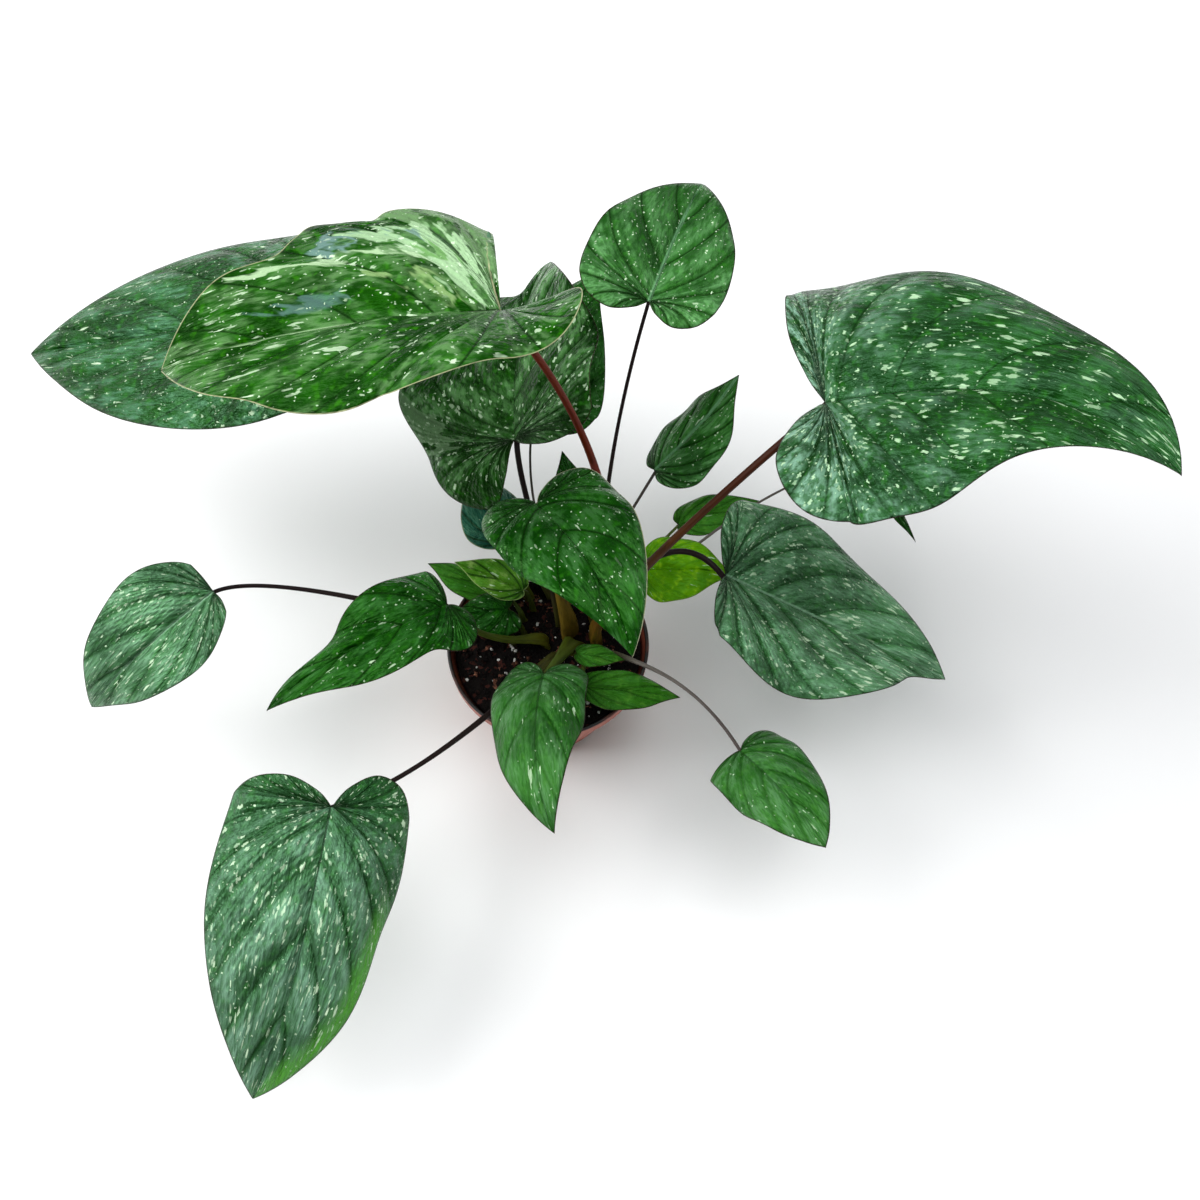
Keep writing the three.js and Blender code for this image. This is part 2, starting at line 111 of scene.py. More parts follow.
def pot_profile():
    """Half the section as (radius, height): up the outside, round the lip and down the inside."""
    under = LIP_RADIUS - LIP_FLARE - BAND_PROUD
    band = POT_HEIGHT - BAND_HEIGHT
    path = [(0, 0), (BASE_RADIUS - HEEL, 0), (BASE_RADIUS - 0.5 * MM, 0.4 * MM)]
    for t in (0, 0.3, 0.6, 0.98):
        path.append((BASE_RADIUS + (under - BASE_RADIUS) * t, HEEL + (band - 2.3 * MM) * t))
    path += [(under, band - 0.4 * MM), (under + 0.4 * MM, band), (under + 1.2 * MM, band + 0.1 * MM)]
    path += [(LIP_RADIUS - LIP_FLARE, band + 0.7 * MM), (LIP_RADIUS - 0.2 * MM, POT_HEIGHT - 2 * LIP_ROLL)]
    for i in range(7):
        turn = math.pi * i / 6
        inward, down = LIP_ROLL * (1 - math.cos(turn)), LIP_ROLL * (1 - math.sin(turn))
        path.append((LIP_RADIUS - inward, POT_HEIGHT - down))
    path += [(LIP_RADIUS - 2.3 * MM, POT_HEIGHT - 4 * MM), (BASE_RADIUS - WALL + 0.6 * MM, WALL + 2 * MM)]
    path += [(BASE_RADIUS - WALL - 1 * MM, WALL), (0, WALL)]
    return path


def turned_mesh(name, path, turns):
    """A closed lathe of a profile whose ends lie on the axis. A height may be a formula of x and y."""
    mesh = bpy.data.meshes.new(name)
    form = bmesh.new()
    rings = []
    for radius, height in path:
        ring = []
        for k in range(turns if radius else 1):
            turn = 2 * math.pi * k / turns
            x, y = radius * math.cos(turn), radius * math.sin(turn)
            ring.append(form.verts.new((x, y, height(x, y) if callable(height) else height)))
        rings.append(ring if radius else ring * turns)
    for low, high in zip(rings, rings[1:]):
        for k in range(turns):
            after = (k + 1) % turns
            corners = dict.fromkeys([low[k], high[k], high[after], low[after]])
            form.faces.new(list(corners))
    bmesh.ops.recalc_face_normals(form, faces=form.faces)
    form.to_mesh(mesh)
    form.free()
    return mesh


def bake(piece):
    """Applies the piece's modifiers to its mesh."""
    depsgraph = bpy.context.evaluated_depsgraph_get()
    mesh = bpy.data.meshes.new_from_object(piece.evaluated_get(depsgraph))
    piece.modifiers.clear()
    old, piece.data = piece.data, mesh
    bpy.data.meshes.remove(old)


def tool_from(name, form):
    """An object for a tool or a bed, made from a form that is then let go."""
    made = piece_from(name, bpy.data.meshes.new(name), [])
    form.to_mesh(made.data)
    form.free()
    return made


def moulded_clay_plastic():
    """Moulded polypropylene: even satin clay red, a little chalky, painted shade inside, darker in patches on
    the lip.
    """
    material, tree = new_finish("moulded_clay_plastic")
    place = add(tree, "ShaderNodeTexCoord").node.outputs["Object"]
    chalk = add(tree, "ShaderNodeTexNoise", {"Vector": place, "Scale": 90, "Detail": 4})
    dust = add(tree, "ShaderNodeTexNoise", {"Vector": place, "Scale": 380, "Detail": 2})
    body = add(tree, "ShaderNodeMix", {0: chalk, 6: linear(0x8E3F2C), 7: linear(0xB45E47)},
               data_type="RGBA")
    height = add(tree, "ShaderNodeSeparateXYZ", {0: place}).node.outputs["Z"]
    level = add(tree, "ShaderNodeVectorMath", {0: place, 1: (1, 1, 0)}, operation="MULTIPLY")
    radius = add(tree, "ShaderNodeVectorMath", {0: level}, operation="LENGTH")
    # Painted shade: the inside of the wall goes nearly black, for the shade that falls inside the pot.
    taper = (LIP_RADIUS - BASE_RADIUS) / POT_HEIGHT
    wall = add(tree, "ShaderNodeMath", {0: height, 1: taper, 2: BASE_RADIUS - WALL},
               operation="MULTIPLY_ADD")
    proud = add(tree, "ShaderNodeMath", {0: radius, 1: wall}, operation="SUBTRACT")
    inner = add(tree, "ShaderNodeMapRange", {0: proud, 1: 0.9 * MM, 2: -0.2 * MM, 4: 0.95})
    body = add(tree, "ShaderNodeMix", {0: inner, 6: body, 7: linear(0x140907)}, data_type="RGBA")
    fleck = add(tree, "ShaderNodeMapRange", {0: dust, 1: 0.66, 2: 0.74, 4: 0.35})
    body = add(tree, "ShaderNodeMix", {0: fleck, 6: body, 7: linear(0x54291C)}, data_type="RGBA")
    # The rolled lip is darkened towards near black in cloudy patches.
    lip = add(tree, "ShaderNodeMapRange", {0: height, 1: POT_HEIGHT - 2 * LIP_ROLL, 2: POT_HEIGHT - 0.6 * MM})
    lip_patchiness = add(tree, "ShaderNodeMapRange", {0: chalk, 1: 0.25, 2: 0.55, 3: 0.6})
    lip_darkening = add(tree, "ShaderNodeMath", {0: lip, 1: lip_patchiness}, operation="MULTIPLY")
    body = add(tree, "ShaderNodeMix", {0: lip_darkening, 6: body, 7: linear(0x120A08)}, data_type="RGBA")
    bump = add(tree, "ShaderNodeBump", {"Height": chalk, "Strength": 0.12, "Distance": 0.3 * MM})
    finish(tree, {"Base Color": body, "Roughness": 0.5, "Normal": bump})
    return material


pot_mesh = turned_mesh("moulded_pot", pot_profile(), POT_TURNS)
pot = piece_from("moulded_pot", pot_mesh, [moulded_clay_plastic()])
drill = bmesh.new()
for i in range(DRAIN_HOLES):
    turn = 2 * math.pi * i / DRAIN_HOLES
    hole = bmesh.ops.create_cone(drill, cap_ends=True, segments=32, radius1=DRAIN_RADIUS,
                                 radius2=DRAIN_RADIUS, depth=4 * WALL)
    centre = Vector((DRAIN_CIRCLE * math.cos(turn), DRAIN_CIRCLE * math.sin(turn), WALL / 2))
    bmesh.ops.translate(drill, verts=hole["verts"], vec=centre)
drills = tool_from("drills", drill)
cut = pot.modifiers.new("drain_holes", "BOOLEAN")
cut.operation = "DIFFERENCE"
cut.object = drills
bake(pot)
bpy.data.objects.remove(drills)
pot.data.shade_smooth()
pot.data.set_sharp_from_angle(angle=math.radians(40))
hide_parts("pot")
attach(pot, "root")


# The soil
# Loose potting mix of dark peat, bark and perlite that fills the pot to a little below the lip. It is
# crumbly and damp, nearly black, with white perlite grains and reddish slivers of bark among the crumbs.
SOIL_LOW, SOIL_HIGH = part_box("soil")
SOIL_TOP = 75 * MM
SOIL_FOOT = WALL + 0.4 * MM
SOIL_RADIUS = (SOIL_HIGH[0] - SOIL_LOW[0]) / 2 + 0.2 * MM
SOIL_MOUND = 2.5 * MM
SOIL_RINGS = 90
SOIL_TURNS = 180


def soil_height(x, y):
    """The top of the soil: the solid's mound with clods of three sizes."""
    inward = max(0, 1 - math.hypot(x, y) / SOIL_RADIUS)
    broad = 0.5 * math.sin(x * 310 + y * 120) + 0.3 * math.sin(y * 430 - x * 200)
    rise = SOIL_MOUND * math.sqrt(inward) + 1.1 * MM * broad * min(1, inward * 4)
    for size, high in ((9 * MM, 1.3 * MM), (3.5 * MM, 0.9 * MM), (1.4 * MM, 0.5 * MM)):
        rise += high * noise.noise((x / size, y / size, high * 4000)) * min(1, 0.25 + inward * 6)
    return SOIL_TOP + rise


def soil_profile():
    """Half the plug's section: from the middle of its lumpy top out to the wall, down and in at its foot."""
    top = [(SOIL_RADIUS * i / SOIL_RINGS, soil_height) for i in range(SOIL_RINGS + 1)]
    return top + [(BASE_RADIUS - WALL - 0.5 * MM, SOIL_FOOT), (0, SOIL_FOOT)]


def damp_peat():
    """Damp peat: black-brown and quite matte, with paler dry crumbs and rusty shreds."""
    material, tree = new_finish("damp_peat")
    place = add(tree, "ShaderNodeTexCoord").node.outputs["Object"]
    clods = add(tree, "ShaderNodeTexNoise", {"Vector": place, "Scale": 260, "Detail": 6, "Roughness": 0.7})
    shreds = add(tree, "ShaderNodeTexVoronoi", {"Vector": place, "Scale": 420}).node.outputs["Color"]
    body = add(tree, "ShaderNodeMix", {0: clods, 6: linear(0x030202), 7: linear(0x150C0A)},
               data_type="RGBA")
    pick = add(tree, "ShaderNodeSeparateColor", {0: shreds})
    rusty = add(tree, "ShaderNodeMapRange", {0: pick, 1: 0.9, 2: 0.95})
    body = add(tree, "ShaderNodeMix", {0: rusty, 6: body, 7: linear(0x42201A)}, data_type="RGBA")
    bump = add(tree, "ShaderNodeBump", {"Height": clods, "Strength": 0.8, "Distance": 1.2 * MM})
    finish(tree, {"Base Color": body, "Roughness": 0.95, "Normal": bump, "Specular IOR Level": 0.2})
    return material


def plain_grain(name, dark, pale, roughness, grain_mm):
    """A mineral or woody grain whose colour runs between two shades from one grain to the next."""
    material, tree = new_finish(name)
    place = add(tree, "ShaderNodeTexCoord").node.outputs["Object"]
    tone = add(tree, "ShaderNodeTexNoise", {"Vector": place, "Scale": 1000 / grain_mm, "Detail": 3})
    share = add(tree, "ShaderNodeMapRange", {0: tone, 1: 0.35, 2: 0.65})
    body = add(tree, "ShaderNodeMix", {0: share, 6: linear(dark), 7: linear(pale)}, data_type="RGBA")
    bump = add(tree, "ShaderNodeBump", {"Height": tone, "Strength": 0.5, "Distance": 0.4 * MM})
    finish(tree, {"Base Color": body, "Roughness": roughness, "Normal": bump, "Specular IOR Level": 0.25})
    return material


def scattered(name, host, density, smallest, largest, stretch, seed, coat):
    """Crumbs strewn over the host by a node tree: rough little pebbles turned at random, in one mesh."""
    tree = bpy.data.node_groups.new(name, "GeometryNodeTree")
    tree.interface.new_socket("Geometry", in_out="OUTPUT", socket_type="NodeSocketGeometry")
    tree.interface.new_socket("Host", in_out="INPUT", socket_type="NodeSocketObject")
    for label in ("Density", "Smallest", "Largest"):
        tree.interface.new_socket(label, in_out="INPUT", socket_type="NodeSocketFloat")
    tree.interface.new_socket("Stretch", in_out="INPUT", socket_type="NodeSocketVector")
    given = add(tree, "NodeGroupInput").node.outputs
    ground = add(tree, "GeometryNodeObjectInfo", {"Object": given["Host"]}).node.outputs["Geometry"]
    strewn = add(tree, "GeometryNodeDistributePointsOnFaces",
                 {"Mesh": ground, "Density": given["Density"], "Seed": seed})
    pebble = add(tree, "GeometryNodeMeshIcoSphere", {"Radius": 0.5, "Subdivisions": 2})
    size = add(tree, "FunctionNodeRandomValue",
               {2: given["Smallest"], 3: given["Largest"], "Seed": seed + 1})
    scale = add(tree, "ShaderNodeVectorMath", {0: given["Stretch"], "Scale": size}, operation="SCALE")
    turn = add(tree, "FunctionNodeRandomValue", {1: (math.tau, math.tau, math.tau), "Seed": seed + 2},
               data_type="FLOAT_VECTOR")
    placed = add(tree, "GeometryNodeInstanceOnPoints",
                 {"Points": strewn, "Instance": pebble, "Scale": scale, "Rotation": turn})
    real = add(tree, "GeometryNodeRealizeInstances", {0: placed})
    rough = add(tree, "ShaderNodeTexNoise", {"Scale": 700}).node.outputs["Color"]
    centred = add(tree, "ShaderNodeVectorMath", {0: rough, 1: (0.5, 0.5, 0.5)}, operation="SUBTRACT")
    shift = add(tree, "ShaderNodeVectorMath", {0: centred, "Scale": given["Largest"]}, operation="SCALE")
    moved = add(tree, "GeometryNodeSetPosition", {"Geometry": real, "Offset": shift})
    painted = add(tree, "GeometryNodeSetMaterial", {"Geometry": moved, "Material": coat})
    add(tree, "NodeGroupOutput", {0: painted})
    piece = piece_from(name, bpy.data.meshes.new(name), [])
    maker = piece.modifiers.new(name, "NODES")
    maker.node_group = tree
    values = {"Host": host, "Density": density, "Smallest": smallest, "Largest": largest,
              "Stretch": stretch}
    for socket in tree.interface.items_tree:
        if socket.in_out == "INPUT":
            maker[socket.identifier] = values[socket.name]
    bake(piece)
    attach(piece, "root")


soil_mesh = turned_mesh("potting_soil", soil_profile(), SOIL_TURNS)
soil = piece_from("potting_soil", soil_mesh, [damp_peat()])
soil.data.shade_smooth()
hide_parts("soil")
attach(soil, "root")

top_only = bmesh.new()
top_only.from_mesh(soil.data)
lowest, widest = SOIL_TOP - 4 * MM, SOIL_RADIUS - 1.5 * MM
buried = [v for v in top_only.verts if v.co.z < lowest or v.co.xy.length > widest]
bmesh.ops.delete(top_only, geom=buried, context="VERTS")
seedbed = tool_from("seedbed", top_only)
# Name, how many for each square metre, smallest and largest, how it is drawn out, and seed; then the dark
# and the pale colour, roughness and grain in millimetres.
CRUMBS = [
    ("peat_crumbs", 150000, 0.9 * MM, 2.6 * MM, (1, 0.8, 0.7), 3, (0x030202, 0x120A09, 0.95, 1.5)),
    ("bark_chips", 20000, 1.8 * MM, 5 * MM, (1, 0.45, 0.22), 11, (0x0C0504, 0x2A1410, 0.9, 2)),
    ("bark_shreds", 11000, 3 * MM, 8 * MM, (1, 0.12, 0.1), 19, (0x2A100C, 0xA06A54, 0.8, 2)),
    ("perlite_grains", 12000, 1 * MM, 2.7 * MM, (1, 0.85, 0.8), 27, (0xD2CCC6, 0xFAF8F5, 0.85, 1)),
]
for name, *spread, tone in CRUMBS:
    scattered(name, seedbed, *spread, plain_grain(name, *tone))
bpy.data.objects.remove(seedbed)


# The leaves
# Each leaf is a leathery blade on a fleshy stalk that stands in the soil, bows over and runs on under the
# blade as its midrib. The blade unrolled from a spike, so its halves rise from the midrib, bend down again
# towards the edge and hang in low waves, and its side veins sink in arcs that the flesh swells between.
BLADE_THICK = 0.6
THIN_EDGE = 2.5
SWELL_SHARE = 0.12
SWELL_MOST = 2.4
VEIN_SINK = 0.5
VEIN_WIDE = 1.1
STALK_UPRIGHT = 9
STALK_DEPTH = 13
STALK_SIDES = 16
FOOT_RINGS = 14
FOOT_ROUNDINGS = 8
FAN_SHARE = 0.62
FAN_CROWD = 1.6
BEND_LATE = 0.6
SPINE_STEPS = 24
# What grows with the blade: so much at the least, and so much more for each millimetre of its length.
FOOT_RADIUS = (1.3, 0.0135)
NECK_RADIUS = (0.75, 0.007)
MIDRIB_WIDE = (0.6, 0.006)
MIDRIB_SINK = (0.3, 0.003)
# The kinds of face, in the order of a leaf's finishes.
UPPER, LOWER, SKIN = range(3)
# How far each leaf's patterns are moved on from the last one's, so that no two leaves are marked alike.
PATTERN_STEP = 397
# For blades longer than this: side veins, rows of faces a vein, steps along it, steps along the stalk.
FINENESS = [(125, 12, 14, 28, 40), (110, 9, 14, 28, 40), (65, 9, 9, 15, 40), (0, 6, 9, 15, 24)]
# Half outlines from the notch at the stalk, round one lobe, to the tip: shares of the length and width.
FORMS = {
    "heart": [(0, 0), (-0.09, 0.08), (-0.16, 0.23), (-0.11, 0.4), (0.06, 0.49),
              (0.31, 0.48), (0.58, 0.36), (0.83, 0.16), (1, 0)],
    "round": [(0, 0), (-0.1, 0.1), (-0.16, 0.27), (-0.08, 0.43), (0.14, 0.5),
              (0.42, 0.47), (0.7, 0.33), (0.9, 0.14), (1, 0)],
    "egg": [(0, 0), (-0.03, 0.15), (0.04, 0.34), (0.2, 0.47), (0.4, 0.48),
            (0.62, 0.36), (0.83, 0.15), (1, 0)],
}
# Millimetres and degrees; pairs are the left half and the right half. The names are those of the packed
# solids, with the look of the blade and of the stalk. A stalk leaves the soil at its root and meets the
# blade at its joint, where the blade's heading and pitch are taken. Towards the tip the midrib droops,
# twists and sweeps to the right. Roll is how far the right side hangs, fold how steeply a half rises from
# the midrib, curl how far it bends down again, lobe and sag how long the lobes are and how far they hang,
# and full how broad the blade stays before its tip. Wave is how high its edge waves, with so many ripples
# from a phase. Of the stalk: lean out of the soil, bow where it meets the blade, how stout it is, how far
# it runs aside, and how much of it the sheath takes up. A bay in the edge is a half, a vein, a depth as a
# share of the way out and a width in veins.
USUAL = dict(form="heart", pitch=0, droop=20, roll=0, twist=0, sweep=0, fold=(14, 14), curl=(38, 38),
             lobe=(1, 1), full=1, sag=1, wave=1.5, ripples=2, phase=(0.3, 0.3), lean=0.3, bow=50, stout=1,
             aside=(0, 0), sheath=0.38, bays=(), slot="leaf_deep_green")
LEAVES = [
    dict(name="leaf_high_left", root=(27, 21), joint=(-16, 59, 320), heading=186, long=172,
         half=(80, 79), pitch=2, droop=28, roll=26, twist=-32, sweep=10, fold=(28, 28), curl=(44, 34),
         lobe=(1.3, -0.15), full=1.3, sag=-2, wave=6, ripples=1.4, phase=(0.1, 0.95), lean=-0.5, bow=59,
         aside=(-2, 40), look="sectored", stalk="red_brown", bays=[(0, 6.2, -0.12, 0.5),
         (0, 7.1, 0.05, 0.2), (0, 9.2, 0.04, 0.5), (1, 5.4, 0.1, 0.4), (1, 7.3, 0.05, 0.22),
         (1, 8.1, -0.05, 0.3), (1, 9.2, 0.11, 0.5)]),
    dict(name="leaf_far_left", root=(2, 37), joint=(-125, 126, 238), heading=172, long=211,
         half=(73, 72), pitch=-21, droop=7, roll=3, twist=-7, sweep=6, full=1.1, wave=0.8,
         phase=(0.5, 0.35), lean=3.5, bow=23, aside=(-16, 60), look="greyed", stalk="dark"),
    dict(name="leaf_back_middle", root=(8, 17), joint=(-17, 73, 190), heading=92, long=131,
         half=(62, 63), pitch=10, droop=38, roll=-42, twist=-2, sweep=3, fold=(20, 16), curl=(8, 36),
         lobe=(1.45, 0.5), full=1.1, sag=2.8, wave=6, ripples=1.7, phase=(0.78, 0.03), lean=0, bow=64,
         aside=(-7, 8), look="dusted", stalk="dark", bays=[(0, 7.1, -0.17, 0.8), (0, 11, 0.45, 0.7)]),
    dict(name="leaf_back_low", root=(10, 42), joint=(-6, 114, 163), heading=76, long=112, half=(38, 38),
         pitch=5, droop=19, roll=-8, sweep=13, lobe=(1, 0.85), full=0.74, phase=(0.7, 0.7), lean=-0.3,
         bow=28, stout=0.45, aside=(-17, 3), look="plain", stalk="grey"),
    dict(name="leaf_back_high", root=(33, 29), joint=(57, 114, 260), heading=72, long=103,
         half=(43, 39), droop=21, roll=5, twist=-5, sweep=4, fold=(22, 22), curl=(24, 27),
         lobe=(0.85, 0.85), full=1.1, wave=2, ripples=2.3, phase=(0.3, 0.35), lean=0.2, bow=70,
         stout=0.7, aside=(-8, 2), look="light", stalk="dark"),
    dict(name="leaf_big_right", root=(29, 3), joint=(146, 49, 260), heading=5, long=187, half=(103, 88),
         pitch=10, droop=16, roll=-10, twist=-5, sweep=68, fold=(19, 17), curl=(48, 36), lobe=(0.4, 1),
         full=0.72, sag=0, wave=5, phase=(0.6, 0.05), lean=-0.3, bow=0, aside=(11, -22), look="starry",
         stalk="brown", bays=[(0, 4.4, -0.05, 0.4), (0, 9.7, 0.06, 0.8)]),
    dict(name="leaf_mid_right", root=(28, 12), joint=(102, 9, 150), heading=-16, long=142,
         half=(60, 62), pitch=-22, droop=-10, roll=-14, sweep=12, fold=(24, 24), curl=(28, 46),
         lobe=(0.45, 0.3), full=1.35, wave=6, ripples=1.1, phase=(0.9, 0.3), lean=0.8, bow=-43,
         aside=(-3, 25), slot="leaf_grey_green", look="silvery", stalk="dark",
         bays=[(1, 5.2, 0.14, 0.9), (1, 10.7, 0.1, 0.6), (0, 8, 0.1, 1.8)]),
    dict(name="leaf_middle", root=(12, 8), joint=(-2.6, 21, 208), heading=-54, long=106,
         half=(42.5, 36.5), pitch=14, droop=48, roll=-6, twist=-10, sweep=11, curl=(33, 46),
         lobe=(0.55, 0.85), full=0.9, wave=3, phase=(0.5, 0.05), lean=0.1, bow=80, stout=1.6,
         look="pale_edged", stalk="sheath"),
    dict(name="leaf_small_back", form="egg", root=(20, 25), joint=(64, 92, 130), heading=32, long=76,
         half=(24, 27), pitch=34, droop=-4, roll=-10, twist=10, sweep=-14, fold=(7, 7), curl=(52, 44),
         wave=2.5, phase=(0.75, 0.5), lean=0.9, bow=20, stout=0.7, slot="leaf_grey_green", look="light",
         stalk="grey"),
    dict(name="leaf_small_right", form="egg", root=(38, 28), joint=(79, 72, 100), heading=20, long=54,
         half=(14, 13), pitch=5, droop=15, sweep=4, wave=1, lean=1.5, bow=5, stout=0.8,
         slot="leaf_young_green", look="young", stalk="olive"),
    dict(name="leaf_new_lime", form="egg", root=(36, 12), joint=(57, 40, 101), heading=-5, long=55,
         half=(23, 22.5), pitch=14, droop=23, roll=5, sweep=11, wave=2.5, ripples=1.8,
         phase=(0.05, 0.55), lean=0.8, bow=10, slot="leaf_lime", look="lime", stalk="olive"),
    dict(name="leaf_outer_left", form="egg", root=(-20, 3), joint=(-188, 4, 140), heading=-144,
         long=113, half=(32, 37), pitch=-15, droop=52, roll=-12, twist=-16, fold=(26, 30),
         curl=(34, 32), lobe=(0.4, 0.2), wave=3, ripples=1.75, phase=(0.3, 0.9), lean=3, bow=19,
         stout=0.8, aside=(-36, 20), slot="leaf_grey_green", look="silvery", stalk="dark"),
    dict(name="leaf_mid_left", root=(-1, 2), joint=(-55, -4, 140), heading=-149, long=118,
         half=(31, 28), pitch=8, droop=36, roll=3, twist=8, curl=(34, 14), lobe=(0.45, 0.15), full=0.88,
         sag=1.5, wave=5, ripples=1.5, phase=(0.85, 0.75), lean=2.2, bow=27, aside=(-12, -8),
         look="plain", stalk="olive", bays=[(0, 5.4, 0.15, 0.5), (1, 7.4, 0.25, 0.7)]),
    dict(name="leaf_front_left", root=(7, -7), joint=(-112, -121, 130), heading=-98, long=163,
         half=(48, 58), pitch=-10, droop=42, roll=-9, twist=-6, sweep=13, fold=(12, 11), curl=(60, 40),
         lobe=(0.8, 0.5), full=1.27, wave=3, ripples=1.6, phase=(0.2, 0.7), lean=4, bow=31, stout=0.72,
         aside=(5, -7), slot="leaf_grey_green", look="fresh_edged", stalk="dark",
         bays=[(0, 7.6, 0.08, 0.9)]),
    dict(name="leaf_front", root=(16, -2), joint=(-0.8, -33, 110), heading=-98, long=102, half=(28, 30),
         pitch=18, droop=52, roll=15, twist=8, sweep=-20, fold=(8, 10), curl=(48, 40), lobe=(0.5, 0.7),
         wave=4, phase=(0, 0.9), lean=0.7, bow=20, stout=1.8, look="soft", stalk="olive", sheath=1.1),
    dict(name="leaf_front_right", form="egg", root=(22, -9), joint=(21, -35, 96), heading=-4, long=58,
         half=(13, 13), pitch=-3, droop=13, roll=4, full=1.1, lean=1, bow=10, slot="leaf_young_green",
         look="young", stalk="olive"),
    dict(name="leaf_front_new", form="egg", root=(24, -3), joint=(17, -14, 97), heading=-10, long=30,
         half=(8, 8), pitch=5, droop=10, wave=0.8, lean=0.5, slot="leaf_young_green", look="young",
         stalk="olive"),
    dict(name="leaf_outer_right", form="round", root=(30, -6), joint=(109.5, -80.5, 110), heading=-53,
         long=77, half=(27, 26), pitch=22, droop=28, roll=2, twist=8, sweep=11, fold=(8, 8),
         curl=(44, 46), lobe=(0.4, 0.1), wave=2.5, phase=(0.75, 0.95), lean=4, bow=-16, stout=0.75,
         aside=(1, 15), look="soft", stalk="grey"),
    dict(name="leaf_small_left_outer", form="egg", root=(-16, 18), joint=(-23, 28, 90), heading=160,
         long=54, half=(14, 9), pitch=12, droop=12, full=1.35, lean=0.4, slot="leaf_young_green",
         look="young", stalk="olive"),
    dict(name="leaf_small_left_inner", form="egg", root=(-10, 26), joint=(-14, 23.5, 105), heading=160,
         long=45, half=(11, 13), pitch=12, droop=10, roll=-10, slot="leaf_young_green",
         look="pale_young", stalk="olive"),
    dict(name="leaf_small_dark", form="round", root=(-15, 8), joint=(-23, 13.5, 100), heading=186,
         long=32, half=(17, 12), roll=-14, lobe=(1.4, 0.7), wave=0.8, lean=0.5, look="plain",
         stalk="olive"),
    dict(name="leaf_teal_left", form="egg", root=(-12, 32), joint=(-28, 66, 86), heading=112, long=58,
         half=(21, 21), pitch=5, droop=15, lean=0.6, slot="leaf_grey_green", look="teal",
         stalk="olive"),
    dict(name="leaf_tip_back", form="egg", root=(18, 36), joint=(18, 60, 127), heading=104, long=42,
         half=(11, 11), pitch=25, droop=10, wave=0.8, lean=0.5, look="plain", stalk="grey"),
    dict(name="leaf_under_right", form="egg", root=(38, 19), joint=(195, 97, 115), heading=-56, long=50,
         half=(5, 5), pitch=-5, lean=3, bow=-28, stout=0.6, aside=(9, 24), look="plain", stalk="grey"),
]


def through(points, share):
    """Points on a smooth curve through the given ones, at shares of the way along."""
    known = np.array(points, float)
    last = len(known) - 1
    place = share * last
    i = np.minimum(np.floor(place).astype(int), last)
    w = (place - i)[:, None]
    before = known[np.where(i == 0, 0, i - 1)]
    here, after = known[i], known[np.minimum(i + 1, last)]
    beyond = known[np.where(i > last - 2, last, np.minimum(i + 2, last))]
    leaving, arriving = (after - before) / 2, (beyond - here) / 2
    cubic = 2 * here - 2 * after + leaving + arriving
    return cubic * w ** 3 + (3 * after - 3 * here - 2 * leaving - arriving) * w ** 2 + leaving * w + here


def turned_about(vector, axis, angle):
    """The vector turned about a unit axis."""
    along = axis * (axis @ vector) * (1 - math.cos(angle))
    return vector * math.cos(angle) + np.cross(axis, vector) * math.sin(angle) + along


def midrib_frames(leaf):
    """The midrib from the joint to the tip as rows of point, tangent, normal and side."""
    heading, pitch = math.radians(leaf["heading"]), math.radians(leaf["pitch"])
    flat = np.array([math.cos(heading), math.sin(heading), 0])
    up = np.array([0, 0, 1])
    tangent = flat * math.cos(pitch) + up * math.sin(pitch)
    level = up * math.cos(pitch) - flat * math.sin(pitch)
    normal = turned_about(level, tangent, math.radians(leaf["roll"]))
    point = np.array(leaf["joint"], float)
    frames = []
    for i in range(SPINE_STEPS + 1):
        side = np.cross(tangent, normal)
        frames.append([point, tangent, normal, side])
        share = ((i + 1) / SPINE_STEPS) ** (1 + BEND_LATE) - (i / SPINE_STEPS) ** (1 + BEND_LATE)
        point = point + tangent * leaf["long"] / SPINE_STEPS
        droop = -math.radians(leaf["droop"]) * share
        tangent, normal = turned_about(tangent, side, droop), turned_about(normal, side, droop)
        tangent = turned_about(tangent, normal, -math.radians(leaf["sweep"]) * share)
        normal = turned_about(normal, tangent, math.radians(leaf["twist"]) * share)
    return np.array(frames)


def frames_at(frames, share):
    """Point, tangent, normal and side at shares of the midrib."""
    place = np.clip(share, 0, 1) * SPINE_STEPS
    i = np.minimum(np.floor(place).astype(int), SPINE_STEPS - 1)
    w = (place - i)[..., None]
    return [frames[i, k] * (1 - w) + frames[i + 1, k] * w for k in range(4)]


def on_blade(leaf, frames, along, across, hand):
    """Points of the blade's middle surface, on the left half (hand 0) or the right half (hand 1)."""
    point, tangent, normal, side = frames_at(frames, along)
    half = leaf["half"][hand]
    fold, curl = math.radians(leaf["fold"][hand]), math.radians(leaf["curl"][hand])
    slope = fold - curl * across * 2
    sideways = half * (math.sin(fold) - np.sin(slope)) / curl
    swing = np.sin(2 * math.pi * (leaf["ripples"] * along + leaf["phase"][hand]))
    behind = np.minimum(along, 0)
    rise = half * (np.cos(slope) - math.cos(fold)) / curl + leaf["wave"] * (2 * across) ** 2 * swing
    rise = rise - leaf["sag"] * leaf["long"] * behind ** 2
    outward = sideways if hand else -sideways
    return (point + tangent * (behind * leaf["long"])[..., None] + side * outward[..., None]
            + normal * rise[..., None])


def grown(leaf, measure):
    """A measure that grows with the length of the blade."""
    least, more = measure
    return least + leaf["long"] * more


def smooth_step(low, high, value):
    """0 below low, 1 above high, with eased ends."""
    t = np.clip((value - low) / (high - low), 0, 1)
    return t * t * (3 - 2 * t)


